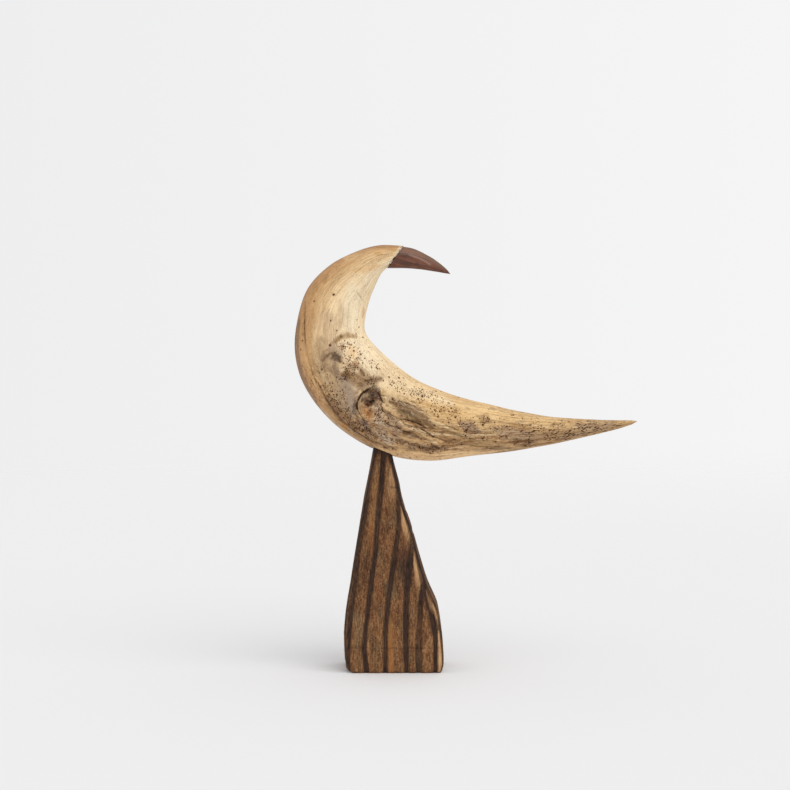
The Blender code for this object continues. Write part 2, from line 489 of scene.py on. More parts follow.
@dataclass(frozen=True)
class WeatheredDriftwood:
    """Bare driftwood, tumbled by water and dried: the eye sees a dull satin skin without varnish.

    Its colour is painted by region into the weather_and_shading attribute, painted shade and light
    among it, and this adds the fine grain that follows the wood round its knots, fine checks along
    the grain, and the painted shade inside the beetle holes and cracks.
    """

    roughness: float = 0.6
    fibre_mm: float = 0.42
    streak_mm: float = 1.5
    speck_mm: float = 1.5
    hole_shade: str = "#2A1608"
    crack_shade: str = "#3A2414"

    def make(self) -> bpy.types.Material:
        """Build the material."""
        f = Finish("driftwood_weathered", Roughness=self.roughness, IOR=1.45,
                   Specular_IOR_Level=0.15)
        grain = f.attribute("grain", "Vector")
        bored, rough_wood = f.attribute("bored"), f.attribute("rough")
        place = f.add("TexCoord").outputs["Object"]
        fibre = f.stretched_noise(grain, (self.fibre_mm, self.fibre_mm, 6.0), 3.0, 0.4)
        streak = f.stretched_noise(grain, (self.streak_mm, self.streak_mm, 26.0), 4.0, 0.5)
        patch = f.stretched_noise(grain, (8.0, 8.0, 22.0), 3.0)
        grit = f.stretched_noise(place, (0.9 * MM,) * 3, 2.0)

        # dark and light streaks and fibres, deeper where the wood is rough
        colour = f.attribute("weather_and_shading", "Color")
        depth = f.math("MULTIPLY_ADD", rough_wood, 0.40, 0.14)
        depth = f.math("MULTIPLY", depth, f.ramp(patch, 0.35, 0.65, 0.35, 1.0))
        dark = f.math("MULTIPLY", depth, f.ramp(streak, 0.62, 0.40))
        colour = f.mix(dark, colour, "#94693C", "MULTIPLY")
        light = f.math("MULTIPLY", depth, f.ramp(streak, 0.52, 0.70, 0.0, 0.5))
        colour = f.mix(light, colour, "#FFF0D2", "SCREEN")
        dark = f.math("MULTIPLY", f.math("ADD", depth, 0.06), f.ramp(fibre, 0.60, 0.36))
        colour = f.mix(dark, colour, "#8A6440", "MULTIPLY")
        dark = f.math("MULTIPLY", f.math("ADD", depth, 0.05), f.ramp(grit, 0.46, 0.30))
        colour = f.mix(dark, colour, "#7A5534", "MULTIPLY")

        # fine broken checks along the grain
        check = f.stretched_noise(grain, (1.9, 1.9, 30.0), 2.0, 0.3)
        check = f.ramp(f.math("ABSOLUTE", f.math("SUBTRACT", check, 0.5)), 0.024, 0.006)
        broken = f.stretched_noise(grain, (4.0, 4.0, 16.0), 1.0)
        check = f.math("MULTIPLY", check, f.math("MULTIPLY", rough_wood,
                                                 f.ramp(broken, 0.42, 0.56, 0.0, 0.95)))
        colour = f.mix(check, colour, "#5A3D24")

        # dark and light spots
        spots = f.stretched_noise(grain, (1.1, 1.1, 2.8), 2.0, 0.2)
        strong = f.math("MULTIPLY_ADD", rough_wood, 0.42, 0.04)
        dark = f.math("MULTIPLY", strong, f.ramp(spots, 0.45, 0.33))
        colour = f.mix(dark, colour, "#6E4B2E", "MULTIPLY")
        light = f.math("MULTIPLY", strong, f.ramp(spots, 0.56, 0.70, 0.0, 0.35))
        colour = f.mix(light, colour, "#FFF2DC", "SCREEN")

        # the beetles' smallest holes, in a share of the cells that depends on how bored the wood is,
        # painted dark as the shade inside them
        cells = f.add("TexVoronoi", Vector=place, Scale=1 / (self.speck_mm * MM))
        lucky = f.add("SeparateColor", Color=cells.outputs["Color"]).outputs[0]
        speck = f.math("MULTIPLY", f.ramp(cells.outputs["Distance"], 0.31, 0.17),
                       f.math("LESS_THAN", lucky, f.math("MULTIPLY", bored, 0.55)))
        colour = f.mix(f.math("MULTIPLY", speck, 0.78), colour, "#442C18")

        # their larger holes, each with a brown rim, and painted shade filling them
        ragged = f.math("MULTIPLY", f.math("SUBTRACT", grit, 0.5), 0.9)
        hole = f.math("ADD", f.attribute("hole"), ragged)
        colour = f.mix(f.ramp(hole, 2.1, 1.0, 0.0, 0.42), colour, "#96673E", "MULTIPLY")
        colour = f.mix(f.ramp(hole, 1.1, 0.7, 0.0, 0.93), colour, self.hole_shade)

        # the drying cracks, painted dark with the shade inside them, and the relief of it all
        cracks = self.cracks(f, grit)
        colour = f.mix(cracks, colour, self.crack_shade)
        bump = f.relief(fibre, 0.22, 0.5)
        bump = f.relief(streak, 0.45, 0.35, bump)
        bump = f.relief(f.math("SUBTRACT", 1.0, f.math("MAXIMUM", speck, check)), 0.35, 0.6, bump)
        bump = f.relief(f.math("SUBTRACT", 1.0, cracks), 0.6, 0.5, bump)
        rough = f.ramp(streak, 0.3, 0.7, self.roughness - 0.08, self.roughness + 0.12)
        return f.close(Base_Color=colour, Normal=bump, Roughness=rough)

    def cracks(self, f: Finish, grit: bpy.types.NodeSocket) -> bpy.types.NodeSocket:
        """Work out the cracks' painted shade: full inside their half width, and soft beside it.

        Args:
            f: the material so far.
            grit: fine noise that roughens their edges.

        Returns:
            The cover of the cracks, from 0 to about 1.
        """
        away = f.add("SeparateXYZ", Vector=f.attribute("crack_away", "Vector"))
        half = f.add("SeparateXYZ", Vector=f.attribute("crack_half", "Vector"))
        place = f.add("TexCoord").outputs["Object"]
        uneven = f.ramp(f.stretched_noise(place, (4.5 * MM,) * 3, 3.0), 0.34, 0.62, 0.5, 1.2)
        total: Any = 0.0
        for layer in range(3):
            wide = f.math("MULTIPLY", half.outputs[layer], uneven)
            wide = f.math("MULTIPLY", wide, f.ramp(grit, 0.3, 0.7, 0.7, 1.3))
            inside = f.math("SUBTRACT", f.math("ABSOLUTE", away.outputs[layer]), wide)
            strong = f.ramp(wide, 0.02, 0.50, 0.0, 0.94)
            total = f.math("MAXIMUM", total, f.math("MULTIPLY", f.ramp(inside, 0.32, -0.14), strong))
        return total


@dataclass(frozen=True)
class OiledHardwood:
    """Dark hardwood, cut with a knife and oiled: the eye sees soft facets with a low shine."""

    roughness: float = 0.40
    pore_mm: float = 0.5

    def make(self) -> bpy.types.Material:
        """Build the material."""
        f = Finish("dark_hardwood_oiled", Roughness=self.roughness, IOR=1.5, Coat_Weight=0.08,
                   Coat_Roughness=0.35, Specular_IOR_Level=0.35)
        grain = f.attribute("grain", "Vector")
        figure = f.stretched_noise(grain, (3.2, 3.2, 30.0), 3.0, 0.8)
        pores = f.stretched_noise(grain, (self.pore_mm, self.pore_mm, 7.0), 2.0)
        colour = f.mix(f.ramp(figure, 0.32, 0.68), "#5B3727", "#7C4D39")
        colour = f.mix(f.ramp(pores, 0.52, 0.34, 0.0, 0.40), colour, "#6B4B3C", "MULTIPLY")
        # the upper facets lighter: painted light where the light falls from above
        colour = f.mix(f.attribute("upper"), colour, "#86664C")
        # a paler streak along the side: a painted highlight
        colour = f.mix(f.attribute("painted_highlight"), colour, "#A98472")
        edge = f.attribute("edge")
        colour = f.mix(f.ramp(edge, 0.0, 1.0, 0.0, 0.50), colour, "#3E2A22")
        bump = f.relief(pores, 0.12, 0.4)
        return f.close(Base_Color=colour, Normal=bump)


@dataclass(frozen=True)
class ScorchedSoftwood:
    """Softwood, burnt with a torch and wire-brushed: the eye sees dull brown ribs between soft
    charred furrows, pitted all over, with black left along the sharp edges."""

    roughness: float = 0.72
    pit_mm: float = 1.15

    def make(self) -> bpy.types.Material:
        """Build the material."""
        f = Finish("softwood_scorched_brushed", Roughness=self.roughness, IOR=1.45,
                   Specular_IOR_Level=0.2)
        grain = f.attribute("grain", "Vector")
        place = f.add("TexCoord").outputs["Object"]
        fibre = f.stretched_noise(grain, (0.6, 0.6, 8.0), 4.0, 0.5)
        cloud = f.stretched_noise(grain, (5.0, 5.0, 14.0), 4.0, 0.3)
        pit = self.pit_mm * MM
        pits = f.stretched_noise(place, (pit, pit, pit), 3.0)
        base = f.mix(f.attribute("tone"), "#65452B", "#8A6440")
        pale_base = f.mix(f.attribute("tone"), "#84603E", "#AA8056")
        colour = f.mix(f.ramp(cloud, 0.34, 0.68), base, pale_base)
        colour = f.mix(f.ramp(fibre, 0.60, 0.38, 0.0, 0.72), colour, "#7C5636", "MULTIPLY")
        specks = f.stretched_noise(place, (0.8 * pit, 0.8 * pit, 1.6 * pit), 2.0)
        reddish = f.stretched_noise(grain, (3.5, 3.5, 24.0), 2.0, 0.4)
        colour = f.mix(f.ramp(reddish, 0.50, 0.64, 0.0, 0.34), colour, "#8C5838")
        colour = f.mix(f.ramp(reddish, 0.46, 0.34, 0.0, 0.5), colour, "#6A5942")
        colour = f.mix(f.ramp(specks, 0.45, 0.36, 0.0, 0.50), colour, "#4A2412")
        colour = f.mix(f.ramp(pits, 0.45, 0.33, 0.0, 0.60), colour, "#3A2214")
        colour = f.mix(f.ramp(pits, 0.58, 0.74, 0.0, 0.35), colour, "#C09A72")
        colour = f.mix(f.attribute("amber"), colour, "#AC723C")
        tan = f.mix(f.ramp(fibre, 0.60, 0.40, 0.0, 0.5), "#D4A87A", "#96693C")
        colour = f.mix(f.attribute("pale"), colour, tan)
        burnt = f.mix(f.ramp(fibre, 0.35, 0.65), "#271A13", "#453026")
        colour = f.mix(f.attribute("char"), colour, burnt)
        colour = f.mix(f.attribute("soot"), colour, "#211F20")
        bump = f.relief(pits, 0.5, 0.55)
        bump = f.relief(fibre, 0.35, 0.4, bump)
        return f.close(Base_Color=colour, Normal=bump)


@dataclass(frozen=True)
class DrawnSteel:
    """Bright steel rod as drawn: the eye sees fine lines along it and a soft metal shine."""

    roughness: float = 0.30

    def make(self) -> bpy.types.Material:
        """Build the material."""
        f = Finish("steel_bright_drawn", Roughness=self.roughness, Metallic=1.0)
        place = f.add("TexCoord").outputs["Object"]
        lines = f.stretched_noise(place, (0.3 * MM, 0.3 * MM, 20.0 * MM), 2.0)
        colour = f.mix(f.ramp(lines, 0.35, 0.65), "#A9AAAC", "#C6C7C8")
        rough = f.ramp(lines, 0.3, 0.7, self.roughness - 0.06, self.roughness + 0.1)
        return f.close(Base_Color=colour, Roughness=rough, Normal=f.relief(lines, 0.05, 0.3))


@dataclass(frozen=True)
class TurnedBeech:
    """Plain beech peg as turned: the eye sees pale wood with short dark flecks."""

    roughness: float = 0.6

    def make(self) -> bpy.types.Material:
        """Build the material."""
        f = Finish("beech_turned", Roughness=self.roughness, IOR=1.45)
        place = f.add("TexCoord").outputs["Object"]
        flecks = f.stretched_noise(place, (4.0 * MM, 0.6 * MM, 0.6 * MM), 2.0)
        colour = f.mix(f.ramp(flecks, 0.60, 0.42, 0.0, 0.6), "#D3AE7F", "#A87B4E")
        return f.close(Base_Color=colour, Normal=f.relief(flecks, 0.08, 0.3))


# ---- Marks on the driftwood ----------------------------------------------------------------------

# The bird stands in softer light than the colours were judged in, so they are raised a little.
WOOD_GAIN = (1.25, 1.23, 1.19)
STAIN_GAIN = (1.14, 1.12, 1.08)


class Side(enum.Enum):
    """The side of the bird that a mark is on."""

    FRONT = -1.0
    BACK = 1.0


@dataclass(frozen=True)
class Mark:
    """A stroke drawn on one side of the bird, along a path of x and z in millimetres.

    Attributes:
        path: the points that the stroke passes through.
        width: its half width at its middle.
        side: the side it is on.
        taper: how far it narrows to its ends, from 0, not at all, to 1, to nothing.
    """

    path: tuple[Point, ...]
    width: float
    side: Side = field(default=Side.FRONT, kw_only=True)
    taper: float = field(default=0.6, kw_only=True)

    def reach(self, chart: "Chart", ragged: float = 0.0) -> Array:
        """Measure from the stroke, whose width falls off with the square of the way to its ends.

        Args:
            chart: the surface's chart.
            ragged: how much noise roughens the edge.

        Returns:
            The distance of each point as a share of the half width, 1 at the edge.
        """
        distance, place, _ = near_path(chart.xz, self.path)
        narrowed = 1.0 - self.taper * np.abs(2.0 * place - 1.0) ** 2
        return distance / (self.width * narrowed) + ragged * chart.ragged

    def cover(self, chart: "Chart") -> Array:
        """Return how far the stroke covers each point, softly at its edge, from 0 to 1."""
        return smoothstep(1.6, 0.5, self.reach(chart, 0.4)) * chart.on(self.side)


@dataclass(frozen=True)
class Relief(Mark):
    """A ridge (rise above 0) or a hollow (below 0), in millimetres, with round sides."""

    rise: float = -1.0

    def lift(self, chart: "Chart") -> Array:
        """Return how far the stroke lifts each point of the surface."""
        return self.rise * smoothstep(1.25, 0.0, self.reach(chart, 0.12)) * chart.on(self.side)


@dataclass(frozen=True)
class Crack(Mark):
    """A drying crack: a narrow cut, painted dark with the shade inside it.

    Attributes:
        depth: how deep it is.
        layer: one of three. Cracks that run close together are drawn in different layers.
    """

    depth: float = 0.5
    layer: int = 0

    def lift(self, chart: "Chart") -> Array:
        """Work out how far the crack sinks each point of the surface.

        Args:
            chart: the surface's chart.

        Returns:
            The lift of each point, which is not above 0.
        """
        wide = max(self.width, 0.5)
        away, _, _ = near_path(chart.xz, self.path)
        return -self.depth * smoothstep(1.7 * wide, 0.3 * wide, away) * chart.on(self.side)

    def draw(self, chart: "Chart", away: Array, half: Array) -> None:
        """Draw the crack into its layer, as the signed distance to it and its half width.

        The distance has a sign, to be even across the crack however far apart the points are.

        Args:
            chart: the surface's chart.
            away: the layer's distances so far, which are changed where this crack is nearer.
            half: the layer's half widths so far, which are changed with them.
        """
        distance, place, sign = near_path(chart.xz, self.path)
        nearer = (distance < 2.4) & (distance < np.abs(away)) & (chart.on(self.side) > 0.5)
        away[nearer] = (distance * sign)[nearer]
        narrowed = self.width * (1.0 - self.taper * np.abs(2.0 * place - 1.0) ** 3)
        half[nearer] = (narrowed * smoothstep(2.4, 1.6, distance))[nearer]


@dataclass(frozen=True)
class Stain(Mark):
    """A patch or streak of another colour.

    Attributes:
        colour: its colour.
        strength: how far it hides what is below it, from 0 to 1.
        soft: how wide its edge is, as a share of its half width.
        ragged: how uneven its edge is.
    """

    colour: str
    strength: float
    soft: float = 0.6
    ragged: float = 0.5

    def paint(self, colour: Array, chart: "Chart") -> Array:
        """Lay this stain over the wood.

        Args:
            colour: the linear colours so far.
            chart: the surface's chart.

        Returns:
            The colours with the stain.
        """
        cover = smoothstep(1.0 + self.soft, 1.0 - self.soft, self.reach(chart, self.ragged))
        cover = (cover * self.strength * chart.on(self.side))[..., None]
        return colour * (1.0 - cover) + linear(self.colour) * STAIN_GAIN * cover


@dataclass(frozen=True)
class Boring(Mark):
    """Where beetles bored: its strength is the share of the skin that their holes can take."""

    strength: float


@dataclass(frozen=True)
class Knot:
    """Where a branch grew: the grain parts round it.

    Attributes:
        centre: its x and z.
        radius: how far it pushes the grain aside.
        side: the side it is on.
    """

    centre: Point
    radius: float
    side: Side = Side.FRONT


@dataclass
class Chart:
    """What the marks need to know of each point of the bird's surface.

    Attributes:
        xz: x and z, in millimetres.
        front: 1 on the side that is looked at, 0 on the other, smooth between them.
        ragged: noise, about -1 to 1, that roughens the edges of the marks.
        crumbs: finer noise, about -1 to 1, for bark.
    """

    xz: Array
    front: Array
    ragged: Array
    crumbs: Array

    def on(self, side: Side) -> Array:
        """Return how far each point belongs to a side."""
        return self.front if side is Side.FRONT else 1.0 - self.front


# Sections across the bird, from the cut face at the head, down the neck, round the breast and out to
# the tail: outer edge x and z, inner edge x and z, and half the thickness from front to back.
BIRD_SECTIONS = (
    (5.0, 297.6, -6.4, 282.0, 7.2),
    (-12.0, 297.8, -10.2, 277.0, 10.0),
    (-28.5, 293.0, -14.2, 268.6, 13.0),
    (-46.0, 283.6, -17.8, 259.2, 15.2),
    (-60.6, 268.4, -20.4, 248.8, 16.6),
    (-67.6, 249.0, -21.2, 240.0, 17.8),
    (-70.3, 227.6, -18.4, 233.0, 19.6),
    (-66.6, 206.6, -13.2, 227.0, 21.8),
    (-56.2, 187.8, -6.2, 220.0, 23.6),
    (-40.6, 171.2, 3.6, 211.8, 24.6),
    (-20.6, 157.8, 15.6, 203.6, 24.8),
    (1.6, 149.4, 30.0, 197.0, 24.0),
    (26.0, 146.8, 47.0, 191.2, 22.4),
    (52.0, 150.0, 67.0, 186.2, 20.0),
    (80.0, 153.2, 89.0, 181.2, 16.8),
    (108.0, 158.0, 112.0, 177.4, 13.0),
    (134.0, 163.6, 136.0, 176.0, 8.8),
    (155.0, 168.8, 155.6, 175.3, 4.8),
    (166.0, 172.2, 166.2, 175.2, 2.2),
)

FRONT_KNOTS = (
    Knot((-19.0, 188.5), 7.6),
    Knot((-40.5, 218.5), 5.6),
)
BACK_KNOTS = (
    Knot((-30.0, 205.0), 9.0, Side.BACK),
    Knot((48.0, 168.0), 6.0, Side.BACK),
)

# Ridges and hollows: path, half width and rise.
RELIEFS = (
    # the knot: a sunk eye of bark under a swollen lip on its left
    Relief(((-21, 197), (-19.5, 190), (-19.5, 182)), 6.6, -2.4),
    Relief(((-9, 205.6), (-16.4, 205.6), (-23.4, 201.6), (-29, 194.6), (-30.2, 186), (-26.6, 177)),
        4.2, 1.5),
    Relief(((-10.4, 197), (-9, 191), (-12, 184), (-15.6, 176)), 3, 1.2),
    Relief(((-20.4, 185), (-18.4, 180), (-17, 176.6)), 2.8, 1.5),
    Relief(((-25.2, 190.4), (-24.4, 185.6), (-22.8, 181.6)), 1, 0.8),
    Relief(((-22.4, 194.6), (-18, 196.2), (-13.4, 195.4)), 1.9, 0.9),
    Relief(((-17.4, 189.4), (-14.4, 190.4)), 1.3, -2.2),
    # right of the knot: a long swollen ridge, a lens-shaped hollow and two folds of wood below it
    Relief(((-7, 192), (5, 189), (15, 184.4), (24, 178), (31, 172.4)), 2.8, 1.2),
    Relief(((3, 183.4), (11, 179.6), (19, 174.8), (24.6, 171.2)), 3.8, -1.5),
    Relief(((20.6, 177.6), (25.4, 174), (27.6, 170.8), (24, 169.4)), 1.6, 1),
    Relief(((2.4, 175), (6, 175.4), (12, 174), (19, 170.4), (28, 165.6)), 1.7, 1.3),
    Relief(((2.2, 172.6), (6.6, 170.8), (12, 170.6)), 1.2, 0.6),
    Relief(((6, 168.4), (12, 166.6), (18, 163.6)), 3, -1.4),
    Relief(((14.6, 170), (19.5, 166.5), (25, 162.8), (32, 158.2)), 1.4, 0.9),
    Relief(((28, 176), (40, 169.4), (56, 164), (76, 161.6)), 2, 0.7),
    Relief(((22, 168), (32, 163.4), (46, 159), (64, 157.2)), 1.8, -0.7),
    Relief(((30, 171), (44, 164.6), (62, 160.4)), 1.4, -0.5),
    Relief(((4, 163), (12, 159), (24, 157), (36, 157.4)), 2.4, -0.7),
    # the smooth rim round the breast and belly, and the groove inside it
    Relief(((-58, 210), (-50, 192.6), (-40.4, 178.4), (-32, 170.2), (-22, 163.8), (-8, 157.6), (8, 155.4),
        (30, 154.2)), 1.8, -1.1),
    # the scar: a sunk twisted pit with an arched ridge over it
    Relief(((-44.6, 219.4), (-40, 220.4), (-37.6, 217.6)), 3.4, -1.7),
    Relief(((-51, 219), (-47.4, 223.4), (-42.6, 226.4), (-37.4, 226), (-34.4, 221), (-36, 214)), 2.2, 1.1),
    Relief(((-43, 230.4), (-38.4, 234), (-33, 234.8), (-29.6, 234)), 1.8, -0.5),
    Relief(((-40, 230), (-34, 231.4), (-30, 229.6)), 2.8, 0.35),
    Relief(((-42.6, 214), (-40.6, 208.6), (-37, 203.4)), 2.6, -0.7),
    Relief(((-36.6, 206), (-33.4, 212), (-27, 214.4), (-21.6, 209.6)), 3.2, 0.5),
    # the neck
    Relief(((-36.6, 258), (-36.6, 248), (-39, 238)), 2.2, -0.5),
    Relief(((-31, 262), (-30, 250), (-30.6, 241)), 4.4, 0.5),
    Relief(((-63.2, 258), (-63.6, 243), (-62.6, 226), (-57, 209)), 1.7, -0.8),
    Relief(((-26.6, 265.8), (-23.5, 261.6), (-21.4, 258)), 1.2, -0.4),
    Relief(((-52, 268), (-56, 258)), 3.4, -0.4),
    # the other side
    Relief(((-30, 205),), 8, -2.2, side=Side.BACK),
    Relief(((-18, 212), (-30, 216.4), (-40, 209), (-39, 197), (-28, 191)), 4, 1.4, side=Side.BACK),
    Relief(((-28, 203), (-31, 198)), 2.4, 1.2, side=Side.BACK),
    Relief(((-14, 200), (4, 186), (26, 176), (46, 171)), 2.8, 1.2, side=Side.BACK),
    Relief(((-16, 191), (0, 177), (24, 168), (50, 163)), 2.6, -1.4, side=Side.BACK),
    Relief(((-10, 178), (12, 165), (40, 160)), 2.2, 0.8, side=Side.BACK),
    Relief(((-44, 262), (-50, 240), (-48, 220)), 3, -0.8, side=Side.BACK),
    Relief(((-34, 262), (-36, 244), (-38, 228)), 3, 0.6, side=Side.BACK),
    Relief(((48, 168),), 4.6, -1.2, side=Side.BACK),
    Relief(((38, 171), (48, 174), (58, 170)), 2.2, 0.7, side=Side.BACK),
    Relief(((-57, 208), (-48, 190), (-30, 171), (-8, 159), (20, 154.6)), 1.8, -0.9, side=Side.BACK),
)

# Where the wood is broken up into crumbs of bark: path, half width and the crumbs' height.
# The crumbs also get painted shade in their hollows and painted light on their tops.
CRUSTS = (
    Relief(((-21, 196.4), (-17.4, 192.4), (-15, 187.6)), 5.6, 1),
    Relief(((-20, 182), (-20, 175)), 3.4, 0.45),
    Relief(((-43, 220.6), (-38.6, 218.4)), 3.8, 0.5),
    Relief(((4, 162), (16, 157.6), (31, 156.6)), 3, 0.5),
    Relief(((-34, 209), (-25, 209), (-16, 204.4)), 4.6, 0.35),
    Relief(((-12, 188), (-12, 176), (-8, 166)), 4.4, 0.35),
    Relief(((-30, 204),), 7, 1, side=Side.BACK),
    Relief(((48, 168),), 4, 0.6, side=Side.BACK),
    Relief(((-6, 160), (20, 156.6), (40, 157.6)), 3, 0.6, side=Side.BACK),
)

# Drying cracks: path, half width and depth.
CRACKS = (
    Crack(((-15, 201), (-18.4, 198.6), (-21.2, 196.9), (-23.4, 194.8), (-25.7, 190.9), (-26.5, 187),
        (-25.7, 183.5), (-23.6, 179.8), (-21.6, 176.2)), 0.52, 1.2, taper=0.8),
    Crack(((6.4, 177.5), (10.1, 176.6), (13.7, 175.4), (17.2, 173.9), (22.4, 171)), 0.46, 1),
    Crack(((7.9, 177.3), (4, 177.4), (1.4, 176), (0.6, 174), (2.2, 172), (5.4, 169.6), (10, 168)), 0.34,
        0.6, layer=1, taper=0.3),
    Crack(((4.8, 176), (7, 174.3), (10, 173.1), (14.4, 172.4), (20.4, 169.8), (25.7, 166), (30.1, 164.2),
        (35.6, 161.8)), 0.34, 0.7, layer=2),
    Crack(((35, 162), (44, 160.4), (56, 157.8), (68, 156.8)), 0.24, 0.3, layer=1, taper=0.9),
    Crack(((-4.5, 191.6), (1.3, 190.6), (7.9, 188.8), (13.4, 187), (18, 184.2), (22.4, 181),
        (29.4, 176.2)), 0.3, 0.4, layer=1, taper=0.8),
    Crack(((-9.3, 184.8), (-6.6, 182.6), (-1.2, 181.4)), 0.32, 0.4),
    Crack(((15.4, 168.4), (20, 164.8), (25, 161.2)), 0.26, 0.3),
    Crack(((25, 160.2), (28.3, 157.4), (31.6, 156.2)), 0.32, 0.5),
    Crack(((29, 177), (40, 171.4), (52, 167.4)), 0.2, 0.25, taper=0.9),
    Crack(((31, 172.6), (42, 167), (57, 162.6), (70, 160.6)), 0.22, 0.3, layer=2, taper=0.9),
    Crack(((93.6, 163.4), (93.2, 160), (93.8, 157.6)), 0.4, 0.4),
    Crack(((-63, 257), (-63.5, 243), (-63, 229)), 0.32, 0.6),
    Crack(((-26.6, 265.8), (-23.5, 261.7), (-21.2, 258.1)), 0.16, 0.2),
    Crack(((-35.6, 256.5), (-36.2, 248.3), (-37.6, 240.1)), 0.2, 0.2, taper=0.9),
    Crack(((-50.1, 218), (-47.8, 221), (-45.2, 223.2), (-41.6, 224.2)), 0.16, 0.6),
    Crack(((-11.6, 196.4), (-9.8, 192.5), (-8.4, 189.4)), 0.4, 0.6, layer=1),
    Crack(((-52, 201), (-47.4, 189.9), (-39.6, 178.4), (-31.6, 170.2), (-22, 163.6), (-8, 157.4)), 0.24,
        0.4, layer=2, taper=0.8),
    Crack(((-22, 213.6), (-31, 214.4), (-37.4, 207), (-36, 197)), 0.9, 1.4, side=Side.BACK),
    Crack(((0, 180), (12, 174), (27, 169.4)), 0.6, 0.9, side=Side.BACK),
    Crack(((-58, 262), (-61, 244), (-58, 226)), 0.35, 0.4, side=Side.BACK),
    Crack(((60, 166), (80, 165), (98, 166.6)), 0.3, 0.3, side=Side.BACK),
    Crack(((-8, 194), (6, 186), (22, 180)), 0.3, 0.4, layer=1, side=Side.BACK),
    Crack(((10, 166), (28, 160.6), (48, 160)), 0.3, 0.4, layer=1, side=Side.BACK),
)

